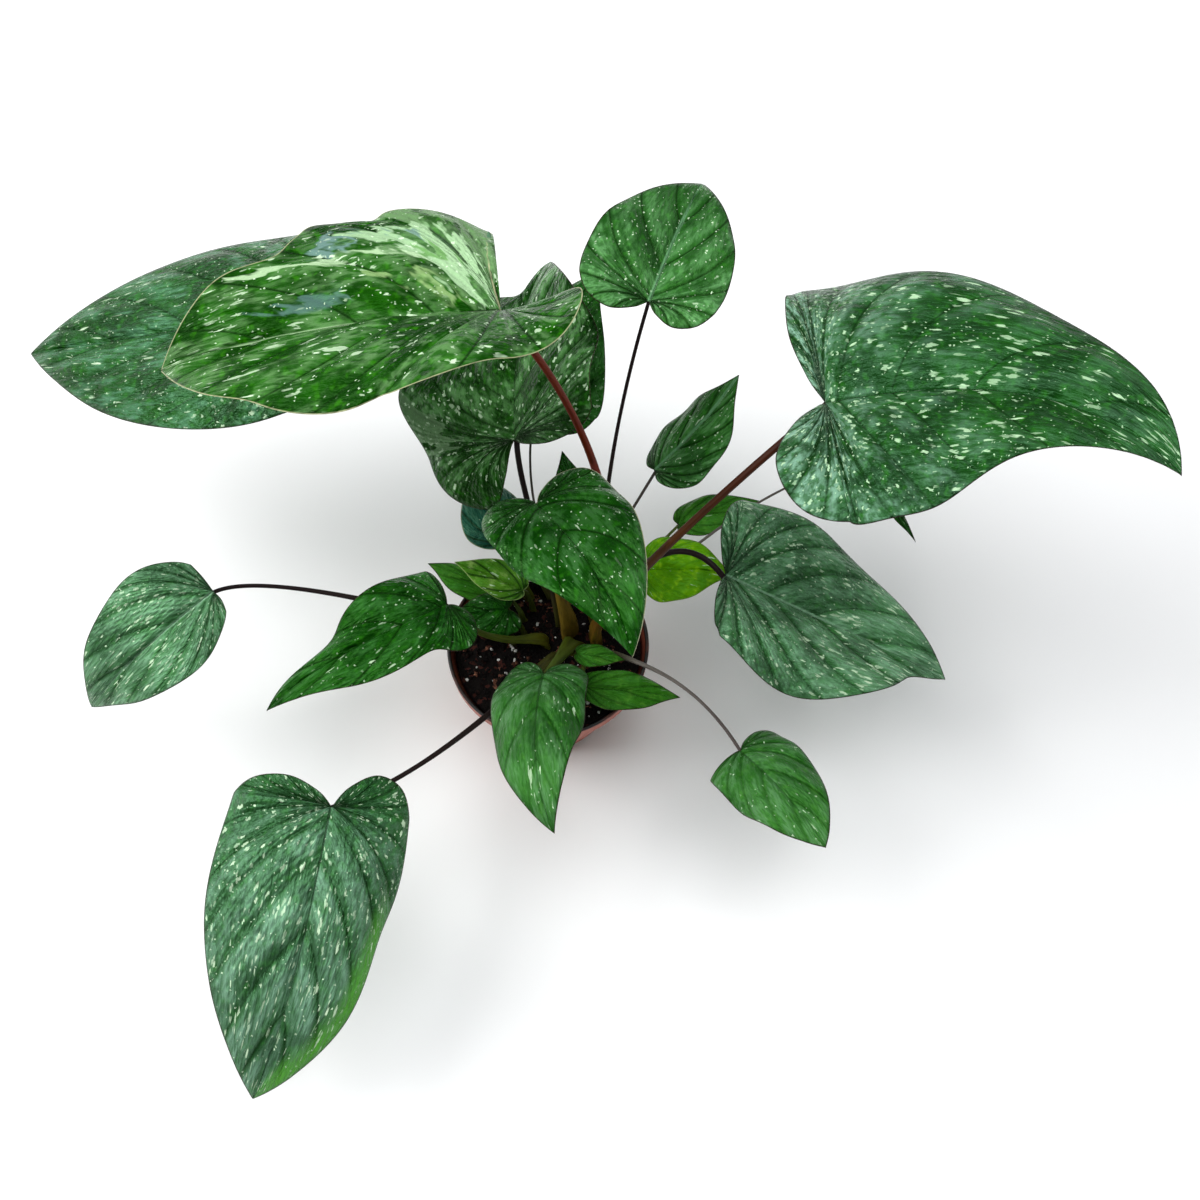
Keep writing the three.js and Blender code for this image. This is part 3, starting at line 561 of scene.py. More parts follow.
def blade_grid(leaf, frames, hand, rows, steps):
    """One half of the blade, by rows that follow the ribs, with what its material needs at each point."""
    way = np.linspace(0, 1, rows + 1)
    start = np.maximum(0, (way - FAN_SHARE) / (1 - FAN_SHARE)) ** FAN_CROWD
    ends = through(FORMS[leaf["form"]], way)
    lobes = ends[:, 0] * leaf["lobe"][hand]
    end_x = np.where(ends[:, 0] < 0, lobes, np.maximum(ends[:, 0], 0) ** (1 / leaf["full"]))
    end_y = np.maximum(ends[:, 1], 0)
    q = (np.arange(steps + 1) / steps) ** 1.25
    keep, pull, reach = (1 - q) ** 2, 2 * (1 - q) * q, q ** 2
    ahead = smooth_step(-0.1, 0.2, end_x - start)
    bend_x = start + (end_x - start) * (0.15 + 0.2 * ahead)
    bend_y = end_y * (0.62 + 0.1 * ahead)
    along = start[:, None] * keep + bend_x[:, None] * pull + end_x[:, None] * reach
    across = bend_y[:, None] * pull + end_y[:, None] * reach
    bays = np.zeros(rows + 1)
    for bay_hand, at, depth, width in leaf["bays"]:
        if bay_hand == hand:
            bays += depth * np.exp(-((way * leaf["veins"] - at) / width) ** 2)
    points = on_blade(leaf, frames, along, across, hand)
    kept = 1 - bays[:, None] * smooth_step(0, 1, q)[None, :]
    points = points[:, :1] + (points - points[:, :1]) * kept[..., None]
    strides = np.linalg.norm(np.diff(points, axis=1), axis=2)
    fibre = np.concatenate([np.zeros((rows + 1, 1)), np.cumsum(strides, axis=1)], axis=1)
    vein = np.repeat(way[:, None] * leaf["veins"], steps + 1, axis=1)
    across_rows = np.gradient(points, axis=0)
    fibre_way = np.gradient(points, axis=1)
    fibre_way /= np.maximum(np.linalg.norm(fibre_way, axis=2, keepdims=True), 1e-9)
    square = across_rows - fibre_way * np.sum(across_rows * fibre_way, axis=2, keepdims=True)
    spacing = np.linalg.norm(square, axis=2) * rows / leaf["veins"]
    gaps = np.linalg.norm(points[:, :, None] - points[None, None, :, -1], axis=3).min(axis=2)
    return dict(points=points, along=along, across=across, vein=vein, fibre=fibre, spacing=spacing, q=q,
                edge=gaps)


def blade_relief(leaf, grid):
    """How far the upper face stands off the middle surface: sunken veins, and flesh swollen between."""
    vein, q = grid["vein"], grid["q"][None, :]
    part = vein - np.floor(vein)
    width = np.minimum(grid["spacing"], 14) / 14
    inner = smooth_step(0.02, 0.2, q) * (1 - smooth_step(0.72, 0.98, q))
    uneven = 0.8 + 0.35 * np.sin(vein * 2.7 + leaf["long"])
    uneven += 0.25 * np.sin(grid["fibre"] / 9 + np.floor(vein) * 2.1)
    high = np.minimum(SWELL_SHARE * grid["spacing"], SWELL_MOST)
    swell = high * uneven * np.sin(math.pi * part) ** 0.8 * inner
    near = np.minimum(part, 1 - part) * grid["spacing"]
    side = -VEIN_SINK * np.exp(-(near / 0.8) ** 2) * (1 - smooth_step(0.6, 0.95, q)) * width
    gap = np.abs(grid["across"]) * 2 * max(leaf["half"])
    middle = -grown(leaf, MIDRIB_SINK) * np.exp(-(gap / grown(leaf, MIDRIB_WIDE)) ** 2)
    middle *= (1 - grid["along"].clip(0, 1)) ** 0.5
    return swell + side + middle


def tube(path, reach, tip_in):
    """Rings of points round a path, at a reach given for each ring and side, from the upper side on."""
    path = np.array(path)
    along = np.gradient(path, axis=0)
    along /= np.linalg.norm(along, axis=1, keepdims=True)
    upper = tip_in - along * np.sum(tip_in * along, axis=1, keepdims=True)
    upper /= np.linalg.norm(upper, axis=1, keepdims=True)
    beside = np.cross(along, upper)
    turns = 2 * math.pi * np.arange(reach.shape[1]) / reach.shape[1]
    out = upper[:, None] * np.cos(turns)[None, :, None] + beside[:, None] * np.sin(turns)[None, :, None]
    return path[:, None] + out * reach[..., None]


def stalk_rings(leaf, frames, steps):
    """The stalk from under the soil to the joint and on under the blade, with a sheath's wings low down:
    its rings of points, how far along each lies, and how far above the soil as a share of its reach."""
    wide_foot = grown(leaf, FOOT_RADIUS) * leaf["stout"]
    neck = grown(leaf, NECK_RADIUS) * leaf["stout"]
    foot = np.array([*leaf["root"], SOIL_TOP / MM + STALK_UPRIGHT], float)
    up = np.array([0, 0, 1.0])
    sunk = grown(leaf, MIDRIB_SINK)
    end = frames[0, 0] - frames[0, 2] * (neck + sunk)
    reach = np.linalg.norm(end - foot)
    outward = (end - foot) * (1, 1, 0)
    outward /= np.linalg.norm(outward)
    leaving = up + outward * leaf["lean"]
    leaving /= np.linalg.norm(leaving)
    bow = math.radians(leaf["bow"])
    arriving = outward * math.cos(bow) + up * math.sin(bow)
    aside = np.array([*leaf["aside"], 0])
    bends = [foot, foot + leaving * reach * 0.38 + aside, end - arriving * reach * 0.3 + aside, end]
    path, radii = [], []
    for i in range(6):
        path.append(foot - up * (STALK_UPRIGHT + STALK_DEPTH) * (1 - i / 6))
        radii.append(wide_foot)
    for t in np.linspace(0, 1, steps + 1):
        weights = ((1 - t) ** 3, 3 * (1 - t) ** 2 * t, 3 * (1 - t) * t ** 2, t ** 3)
        path.append(sum(w * p for w, p in zip(weights, bends)))
        radii.append(wide_foot + (neck - wide_foot) * min(1, t * 1.6) ** 0.7)
    for t in np.linspace(0, 1, 17)[1:]:
        radius = neck * (1 - 0.75 * t) if t <= 0.5 else neck * 0.625 * (1 - (t - 0.5) * 1.6)
        point, _, normal, _ = frames_at(frames, np.array(t * 0.9))
        path.append(point - normal * (radius + sunk))
        radii.append(radius)
    path, radii = np.array(path), np.array(radii)
    for _ in range(FOOT_ROUNDINGS):
        path[1:FOOT_RINGS] = (path[:FOOT_RINGS - 1] + 2 * path[1:FOOT_RINGS] + path[2:FOOT_RINGS + 1]) / 4
    lengths = np.concatenate([[0], np.cumsum(np.linalg.norm(np.diff(path, axis=0), axis=1))])
    above = (lengths - STALK_DEPTH) / reach
    turns = 2 * math.pi * np.arange(STALK_SIDES) / STALK_SIDES
    off = np.minimum(turns, 2 * math.pi - turns)[None, :]
    sheath = (1 - smooth_step(0.12, leaf["sheath"], above))[:, None]
    wings = 0.7 * np.exp(-((off - 1.1) / 0.4) ** 2) * sheath - 0.2 * np.exp(-(off / 0.5) ** 2) * sheath
    channel = -0.12 * np.exp(-(off / 0.5) ** 2) * (1 - sheath)
    shape = radii[:, None] * (1 + wings + channel)
    return tube(path, shape, np.tile(up - outward, (len(path), 1))), lengths, above


def sewn_halves(leaf, grids, shift):
    """Both halves of the blade as one sheet: point, relief, and what the material reads for each corner, the
    faces, and the corners round the edge. The halves share the midrib's corners and those of the notch."""
    corners_of = dict(point=[], relief=[], flat=[], ribs=[], edge=[])
    quads, indices, shared = [], [], {}
    count = 0
    for hand, grid in enumerate(grids):
        stand = blade_relief(leaf, grid)
        rows, steps = stand.shape[0] - 1, stand.shape[1] - 1
        index = np.zeros(stand.shape, int)
        sign = 1 if hand else -1
        for k in range(rows + 1):
            first = 0 if grid["along"][k, 0] == 0 else k
            for j in range(steps + 1):
                if j == 0 or k in (0, rows):
                    key = k if k in (0, rows) else first
                    if key in shared:
                        index[k, j] = shared[key]
                        continue
                    shared[key] = count
                index[k, j] = count
                count += 1
                across = sign * grid["across"][k, j] * 2 * leaf["half"][hand]
                corners_of["point"].append(grid["points"][k, j])
                corners_of["relief"].append(stand[k, j])
                corners_of["flat"].append((grid["along"][k, j] * leaf["long"] + shift, across, shift / 7))
                corners_of["ribs"].append((grid["vein"][k, j], grid["fibre"][k, j] + shift,
                                           grid["spacing"][k, j]))
                corners_of["edge"].append((grid["edge"][k, j], grid["q"][j], sign))
        for k in range(rows):
            for j in range(steps):
                face = [index[k, j], index[k + 1, j], index[k + 1, j + 1], index[k, j + 1]]
                face = list(dict.fromkeys(face))
                if len(face) > 2:
                    quads.append(face[::-1] if hand else face)
        indices.append(index)
    loop = list(indices[1][:, -1]) + list(indices[0][1:-1, -1][::-1])
    return {key: np.array(values) for key, values in corners_of.items()}, quads, loop


def corner_normals(points, quads):
    """The normal at each corner, from the faces round it."""
    normals = np.zeros_like(points)
    for face in quads:
        a, b, c, d = points[face[0]], points[face[1]], points[face[-1]], points[face[2]]
        normals[face] += np.cross(b - a, c - a) - np.cross(b - d, c - d)
    return normals / np.maximum(np.linalg.norm(normals, axis=1, keepdims=True), 1e-9)


def blade_shell(sheet, quads, loop):
    """The sheet's upper and lower faces, joined round its thin edge, each face with its kind of finish."""
    count = len(sheet["point"])
    normals = corner_normals(sheet["point"], quads)
    thick = BLADE_THICK * np.clip(0.3 + sheet["edge"][:, 0] / THIN_EDGE, 0.3, 1)
    stand = sheet["relief"] + 0.1
    top = sheet["point"] + normals * (stand + thick / 2)[:, None]
    under = sheet["point"] + normals * (stand - thick / 2)[:, None]
    faces = [list(face) for face in quads] + [[i + count for i in face[::-1]] for face in quads]
    kinds = [UPPER] * len(quads) + [LOWER] * len(quads)
    for a, b in zip(loop, loop[1:] + loop[:1]):
        faces.append([a, a + count, b + count, b])
        kinds.append(UPPER)
    return np.concatenate([top, under]), faces, kinds


def stalk_faces(first, rings):
    """The faces round a closed stalk whose corners start at the first index."""
    faces = []
    for i in range(rings - 1):
        for k in range(STALK_SIDES):
            a = first + i * STALK_SIDES + k
            b = first + i * STALK_SIDES + (k + 1) % STALK_SIDES
            faces.append([a, b, b + STALK_SIDES, a + STALK_SIDES])
    last = first + (rings - 1) * STALK_SIDES
    faces.append([first + k for k in range(STALK_SIDES)][::-1])
    faces.append([last + k for k in range(STALK_SIDES)])
    return faces


def leaf_piece(leaf, number):
    """One leaf as a closed mesh: blade with its relief, thin edge and underside, and the stalk."""
    leaf = {**USUAL, **leaf}
    _, veins, rows, steps, stalk_steps = next(row for row in FINENESS if leaf["long"] > row[0])
    leaf["veins"] = veins
    frames = midrib_frames(leaf)
    shift = number * PATTERN_STEP
    grids = [blade_grid(leaf, frames, hand, veins * rows, steps) for hand in (0, 1)]
    sheet, quads, loop = sewn_halves(leaf, grids, shift)
    blade, faces, kinds = blade_shell(sheet, quads, loop)
    rings, lengths, above = stalk_rings(leaf, frames, stalk_steps)
    tubes = stalk_faces(len(blade), len(rings))
    mesh = bpy.data.meshes.new(leaf["name"])
    corners = np.concatenate([blade, rings.reshape(-1, 3)]) * MM
    mesh.from_pydata(corners.tolist(), [], faces + tubes)
    mesh.polygons.foreach_set("material_index", kinds + [SKIN] * len(tubes))
    around = np.tile(np.arange(STALK_SIDES) / STALK_SIDES * 10, len(rings))
    along = np.repeat(lengths, STALK_SIDES) + shift
    on_stalk = {"flat": np.stack([along, around, np.repeat(above, STALK_SIDES)], axis=1)}
    for name in ("flat", "ribs", "edge"):
        rest = on_stalk.get(name, np.zeros((len(around), 3)))
        values = np.concatenate([sheet[name], sheet[name], rest])
        mesh.attributes.new(name, "FLOAT_VECTOR", "POINT").data.foreach_set("vector", values.ravel())
    mesh.validate()
    mesh.shade_smooth()
    finishes = [BLADES[leaf["look"]], UNDERSIDES[leaf["look"]], STALKS[leaf["stalk"]]]
    piece = piece_from(leaf["name"].replace("leaf_", "blade_and_stalk_"), mesh, finishes)
    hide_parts(leaf["name"])
    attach(piece, "root")


def band(tree, value, low, high, ease):
    """1 between low and high, with eased sides."""
    rise = add(tree, "ShaderNodeMapRange", {0: value, 1: low, 2: low + ease},
               interpolation_type="SMOOTHSTEP")
    fall = add(tree, "ShaderNodeMapRange", {0: value, 1: high, 2: high - ease},
               interpolation_type="SMOOTHSTEP")
    return add(tree, "ShaderNodeMath", {0: rise, 1: fall}, operation="MULTIPLY")


def clouds(tree, place, size, long=1, detail=3):
    """Cloudy variation of about that many millimetres, drawn out by a given length along the first way."""
    stretch = (1 / size / long, 1 / size, 1)
    at = add(tree, "ShaderNodeVectorMath", {0: place, 1: stretch}, operation="MULTIPLY")
    return add(tree, "ShaderNodeTexNoise", {"Vector": at, "Scale": 1, "Detail": detail},
               noise_dimensions="2D")


def flecks(tree, place, cell, share, small, large, torn):
    """Specks in a share of a pattern's cells, each of its own size and paleness and with a torn outline."""
    moved = add(tree, "ShaderNodeVectorMath", {0: torn, 1: (2.2, 1.3, 0), 2: place},
                operation="MULTIPLY_ADD")
    at = add(tree, "ShaderNodeVectorMath", {0: moved, 1: (1 / cell[0], 1 / cell[1], 1)},
             operation="MULTIPLY")
    gap = add(tree, "ShaderNodeTexVoronoi", {"Vector": at, "Scale": 1}, voronoi_dimensions="2D")
    pick = add(tree, "ShaderNodeSeparateColor", {"Color": gap.node.outputs["Color"]})
    drawn = add(tree, "ShaderNodeMath", {0: pick, 1: share}, operation="ADD")
    chosen = add(tree, "ShaderNodeMapRange", {0: drawn, 1: 1, 2: 1.02})
    pale = add(tree, "ShaderNodeMapRange", {0: pick.node.outputs[2], 3: 0.35, 4: 1})
    chosen = add(tree, "ShaderNodeMath", {0: chosen, 1: pale}, operation="MULTIPLY")
    size = add(tree, "ShaderNodeMapRange", {0: pick.node.outputs[1], 3: small, 4: large})
    inside = add(tree, "ShaderNodeMath", {0: size, 1: gap}, operation="SUBTRACT")
    soft = add(tree, "ShaderNodeMapRange", {0: inside, 1: -0.05, 2: 0.05})
    return add(tree, "ShaderNodeMath", {0: chosen, 1: soft}, operation="MULTIPLY")


def vein_lines(tree, vein, spacing):
    """A soft line along each side vein, as wide in millimetres on every blade."""
    off = add(tree, "ShaderNodeMath", {0: vein, 1: 0.5}, operation="PINGPONG")
    away = add(tree, "ShaderNodeMath", {0: off, 1: spacing}, operation="MULTIPLY")
    return add(tree, "ShaderNodeMapRange", {0: away, 1: VEIN_WIDE, 2: 0.1}, interpolation_type="SMOOTHSTEP")


def bloom_and_sheen_share(tree, look, vein, streaks, broad, crinkle):
    """How strongly the bluish bloom and its painted sheen show: where the flesh swells between two veins,
    most on one flank of each swell, in wrinkled clouds.
    """
    bay = add(tree, "ShaderNodeMath", {0: vein}, operation="FRACT")
    # Painted sheen: the share rises on one flank of each swell, a painted reflection of the lamps there.
    near = add(tree, "ShaderNodeMapRange", {0: bay, 1: 0.04, 2: 0.2, 3: 0.3},
               interpolation_type="SMOOTHSTEP")
    swollen = add(tree, "ShaderNodeMapRange", {0: bay, 1: 0.97, 2: 0.4, 3: 0.45},
                  interpolation_type="SMOOTHSTEP")
    tipward = add(tree, "ShaderNodeMapRange", {0: vein, 1: 4, 2: 10, 3: look["base"], 4: look["tip"]})
    cloudy = add(tree, "ShaderNodeMath", {0: streaks, 1: broad}, operation="ADD")
    cloudy = add(tree, "ShaderNodeMapRange",
                 {0: cloudy, 1: 0.86, 2: 1.12, 3: look["even"], 4: look["bloom_and_sheen"]},
                 interpolation_type="SMOOTHSTEP")
    wrinkled = add(tree, "ShaderNodeMapRange", {0: crinkle, 1: 0.4, 2: 0.56, 3: 0.15 + look["even"]})
    for share in (near, tipward, wrinkled, cloudy):
        swollen = add(tree, "ShaderNodeMath", {0: swollen, 1: share}, operation="MULTIPLY")
    return swollen


def fresh_edge(tree, look, body, vein, rim, reach, side):
    """A stretch of one half's edge in another green, over the ribs and as deep as the look says."""
    low, high, hand, deep = look["edge_where"]
    where = band(tree, vein, low, high, 1.2)
    hither = add(tree, "ShaderNodeMapRange", {0: rim, 1: deep, 2: deep / 4},
                 interpolation_type="SMOOTHSTEP")
    there = add(tree, "ShaderNodeMapRange", {0: side, 1: -hand, 2: hand, 4: 0.85})
    outer = add(tree, "ShaderNodeMapRange", {0: reach, 1: 0.4, 2: 0.7})
    for share in (hither, there, outer):
        where = add(tree, "ShaderNodeMath", {0: where, 1: share}, operation="MULTIPLY")
    return add(tree, "ShaderNodeMix", {0: where, 6: body, 7: linear(look["edge_colour"])}, data_type="RGBA")


def cream_marks(tree, look, flat, flow, broad, rim):
    """The cells that carry no green: fine dust all over, stars and dashes along the ribs, now and then a
    blotch, all of them more crowded in some places than in others."""
    torn = clouds(tree, flow, 1.3).node.outputs["Color"]
    crowd = add(tree, "ShaderNodeMapRange", {0: broad, 1: 0.3, 2: 0.7, 3: 0.3, 4: 1.7})
    marks = flecks(tree, flat, (1.7, 1.7), look["dust"], 0.12, 0.3, torn)
    for kind, cell, small, large in (("stars", (2.8, 1.7), 0.08, 0.34), ("dashes", (4.6, 1.2), 0.14, 0.44)):
        share = add(tree, "ShaderNodeMath", {0: crowd, 1: look[kind]}, operation="MULTIPLY")
        more = flecks(tree, flow, cell, share, small, large, torn)
        marks = add(tree, "ShaderNodeMath", {0: marks, 1: more}, operation="MAXIMUM")
    if look["blotch"] < 1:
        patches = clouds(tree, flow, 5, 2.5, 5)
        start = look["blotch"]
        patches = add(tree, "ShaderNodeMapRange", {0: patches, 1: start, 2: start + 0.02, 4: 0.6})
        marks = add(tree, "ShaderNodeMath", {0: marks, 1: patches}, operation="MAXIMUM")
    inward = add(tree, "ShaderNodeMapRange", {0: rim, 1: 0.3, 2: 1.2, 4: 0.95})
    return add(tree, "ShaderNodeMath", {0: marks, 1: inward}, operation="MULTIPLY")


def blade_top(name, look):
    """A living blade's upper face: waxed skin over deep green flesh, satin, with a bluish bloom and painted
    sheen where the flesh swells, sunken veins darkened with painted shade, and cream stars and dashes where
    cells carry no green."""
    material, tree = new_finish(name)
    flat, ribs, edge = (add(tree, "ShaderNodeAttribute", attribute_name=read).node.outputs["Vector"]
                        for read in ("flat", "ribs", "edge"))
    vein, fibre, spacing = add(tree, "ShaderNodeSeparateXYZ", {0: ribs}).node.outputs
    rim, reach, side = add(tree, "ShaderNodeSeparateXYZ", {0: edge}).node.outputs
    own = add(tree, "ShaderNodeMath", {0: side, 1: 31}, operation="MULTIPLY")
    beside = add(tree, "ShaderNodeMath", {0: vein, 1: 9, 2: own}, operation="MULTIPLY_ADD")
    flow = add(tree, "ShaderNodeCombineXYZ", {0: fibre, 1: beside})
    broad, fine = clouds(tree, flat, 26), clouds(tree, flat, 5)
    streaks, crinkle = clouds(tree, flow, 4, 7), clouds(tree, flow, 2.2, 2)
    depth = add(tree, "ShaderNodeMapRange", {0: broad, 1: 0.35, 2: 0.65}, interpolation_type="SMOOTHSTEP")
    lively = add(tree, "ShaderNodeMapRange", {0: fine, 1: 0.5, 2: 0.8, 4: 0.6},
                 interpolation_type="SMOOTHSTEP")
    bloom_and_sheen = bloom_and_sheen_share(tree, look, vein, streaks, broad, crinkle)
    # Painted shade: a dark line along each sunken side vein stands for the shade in its groove.
    line = vein_lines(tree, vein, spacing)
    groove_shade = add(tree, "ShaderNodeMath", {0: line, 1: look["groove_shade_share"]}, operation="MULTIPLY")
    layers = [(depth, "green"), (lively, "fresh"), (bloom_and_sheen, "bloom_and_sheen_colour"), (groove_shade, "vein_colour")]
    if "midrib" in look:
        across = add(tree, "ShaderNodeSeparateXYZ", {0: flat}).node.outputs["Y"]
        aside = add(tree, "ShaderNodeMath", {0: across}, operation="ABSOLUTE")
        rib = add(tree, "ShaderNodeMapRange", {0: aside, 1: 1.5, 2: 0.5, 4: 0.75},
                  interpolation_type="SMOOTHSTEP")
        layers.append((rib, "midrib"))
    body = linear(look["dark"])
    for share, colour in layers:
        body = add(tree, "ShaderNodeMix", {0: share, 6: body, 7: linear(look[colour])}, data_type="RGBA")
    if "edge_colour" in look:
        body = fresh_edge(tree, look, body, vein, rim, reach, side)
    if "sector" in look:
        body = look["sector"](tree, body, vein, reach, side, streaks)
    marks = cream_marks(tree, look, flat, flow, broad, rim)
    hem = add(tree, "ShaderNodeMapRange", {0: rim, 1: look["rim_wide"], 2: look["rim_wide"] / 3})
    if "rim_hand" in look:
        there = add(tree, "ShaderNodeMapRange", {0: side, 1: -look["rim_hand"], 2: look["rim_hand"]})
        hem = add(tree, "ShaderNodeMath", {0: hem, 1: there}, operation="MULTIPLY")
    for share, colour in ((marks, "cream"), (hem, "rim")):
        body = add(tree, "ShaderNodeMix", {0: share, 6: body, 7: linear(look[colour])}, data_type="RGBA")

    cords = add(tree, "ShaderNodeMath", {0: vein, 1: math.tau * 6}, operation="MULTIPLY")
    cords = add(tree, "ShaderNodeMath", {0: cords}, operation="SINE")
    height = add(tree, "ShaderNodeMath", {0: cords, 1: 0.06, 2: crinkle}, operation="MULTIPLY_ADD")
    bump = add(tree, "ShaderNodeBump", {"Height": height, "Strength": 1, "Distance": look["crinkled"] * MM})
    smooth = look["rough"]
    rough = add(tree, "ShaderNodeMapRange", {0: fine, 1: 0.3, 2: 0.7, 3: smooth - 0.05, 4: smooth + 0.08})
    finish(tree, {"Base Color": body, "Roughness": rough, "Normal": bump, "IOR": 1.5,
                  "Specular Tint": linear(look["gloss"]), "Specular IOR Level": look["shine"]})
    return material


def blade_under(name, colour, vein_colour):
    """The underside: no wax, so matte, paler and greyer, with raised side veins and fine cords between."""
    material, tree = new_finish(name)
    flat, ribs = (add(tree, "ShaderNodeAttribute", attribute_name=read).node.outputs["Vector"]
                  for read in ("flat", "ribs"))
    vein, _, spacing = add(tree, "ShaderNodeSeparateXYZ", {0: ribs}).node.outputs
    mottle = add(tree, "ShaderNodeMapRange", {0: clouds(tree, flat, 6), 1: 0.4, 2: 0.9, 4: 0.5})
    body = add(tree, "ShaderNodeMix", {0: mottle, 6: linear(colour), 7: linear(vein_colour)},
               data_type="RGBA")
    line = vein_lines(tree, vein, spacing)
    shown = add(tree, "ShaderNodeMath", {0: line, 1: 0.8}, operation="MULTIPLY")
    body = add(tree, "ShaderNodeMix", {0: shown, 6: body, 7: linear(vein_colour)}, data_type="RGBA")
    bump = add(tree, "ShaderNodeBump", {"Height": line, "Strength": 0.6, "Distance": 0.6 * MM})
    finish(tree, {"Base Color": body, "Roughness": 0.6, "Normal": bump, "IOR": 1.42})
    return material


def stalk_skin(name, foot, middle, top):
    """A fleshy stalk: smooth waxed skin, streaked lengthwise, often olive at its sheath, darker above."""
    material, tree = new_finish(name)
    flat = add(tree, "ShaderNodeAttribute", attribute_name="flat").node.outputs["Vector"]
    above = add(tree, "ShaderNodeSeparateXYZ", {0: flat}).node.outputs["Z"]
    grain = clouds(tree, flat, 1.4, 10, 4)
    low = add(tree, "ShaderNodeMapRange", {0: above, 1: 0.05, 2: 0.35}, interpolation_type="SMOOTHSTEP")
    body = add(tree, "ShaderNodeMix", {0: low, 6: linear(foot), 7: linear(middle)}, data_type="RGBA")
    high = add(tree, "ShaderNodeMapRange", {0: above, 1: 0.45, 2: 0.95}, interpolation_type="SMOOTHSTEP")
    body = add(tree, "ShaderNodeMix", {0: high, 6: body, 7: linear(top)}, data_type="RGBA")
    streak = add(tree, "ShaderNodeMapRange", {0: grain, 1: 0.5, 2: 0.8, 4: 0.6})
    body = add(tree, "ShaderNodeMix", {0: streak, 6: body, 7: linear(0x120B0A)}, data_type="RGBA")
    bump = add(tree, "ShaderNodeBump", {"Height": grain, "Strength": 0.3, "Distance": 0.4 * MM})
    finish(tree, {"Base Color": body, "Roughness": 0.45, "Normal": bump, "IOR": 1.4,
                  "Specular IOR Level": 0.2})
    return material


def cream_sector_and_sheen(tree, body, vein, reach, side, streaks):
    """The part of a blade grown from cells with little green: pale bands, and grey-green flats between ribs
    that are painted sheen.
    """
    place = add(tree, "ShaderNodeMath", {0: streaks, 1: 1.6, 2: vein}, operation="MULTIPLY_ADD")
    way = add(tree, "ShaderNodeMath", {0: streaks, 1: 0.5, 2: reach}, operation="MULTIPLY_ADD")
    drift = add(tree, "ShaderNodeMath", {0: reach, 1: -3.3, 2: place}, operation="MULTIPLY_ADD")
    far = add(tree, "ShaderNodeMapRange", {0: side, 1: -0.2, 2: 0.2})
    # What runs across a patch, its low and high, reach from the midrib, colour and share, in the order that
    # they lie over one another. The fifth drifts from rib to rib on its way out. The last three, grey-blue,
    # are painted sheen on the glossy flats between ribs.
    patches = [
        (place, 4.6, 7.2, 0.15, 1.4, 0x7FA872, 0.6), (place, 6.3, 8.3, 0.02, 0.74, 0xA2C698, 0.9),
        (place, 7.2, 8.0, 0.3, 0.5, 0x4F8A34, 0.7), (place, 8.3, 9, 0.05, 0.4, 0x9DC07E, 0.6),
        (drift, 6.5, 7.0, 0.3, 0.98, 0xB0CFA2, 0.85),
        (place, 8.1, 9.0, 0.66, 0.86, 0x6C8C86, 0.85), (place, 7.2, 7.9, 0.52, 0.7, 0x648680, 0.8),
        (place, 9.6, 10.4, 0.22, 0.5, 0x5C7E78, 0.6),
    ]
    ragged = add(tree, "ShaderNodeMapRange", {0: streaks, 1: 0.57, 2: 0.51, 3: 0.1})
    for across, low, high, start, end, colour, share in patches:
        between = band(tree, across, low + 0.8, high + 0.8, 0.14)
        within = band(tree, way, start + 0.25, end + 0.25, 0.04)
        patch = between
        for part in (within, far, ragged, share):
            patch = add(tree, "ShaderNodeMath", {0: patch, 1: part}, operation="MULTIPLY")
        body = add(tree, "ShaderNodeMix", {0: patch, 6: body, 7: linear(colour)}, data_type="RGBA")
    return body


def mint_patch(tree, body, vein, reach, side, streaks):
    """One pale mint patch in the left lobe, with a torn edge."""
    place = add(tree, "ShaderNodeMath", {0: streaks, 1: 2.2, 2: vein}, operation="MULTIPLY_ADD")
    way = add(tree, "ShaderNodeMath", {0: streaks, 1: 0.8, 2: reach}, operation="MULTIPLY_ADD")
    near = add(tree, "ShaderNodeMapRange", {0: side, 1: 0.2, 2: -0.2, 4: 0.7})
    patch = band(tree, place, 7, 8.4, 0.1)
    for part in (near, band(tree, way, 0.95, 1.6, 0.03)):
        patch = add(tree, "ShaderNodeMath", {0: patch, 1: part}, operation="MULTIPLY")
    return add(tree, "ShaderNodeMix", {0: patch, 6: body, 7: linear(0x789870)}, data_type="RGBA")
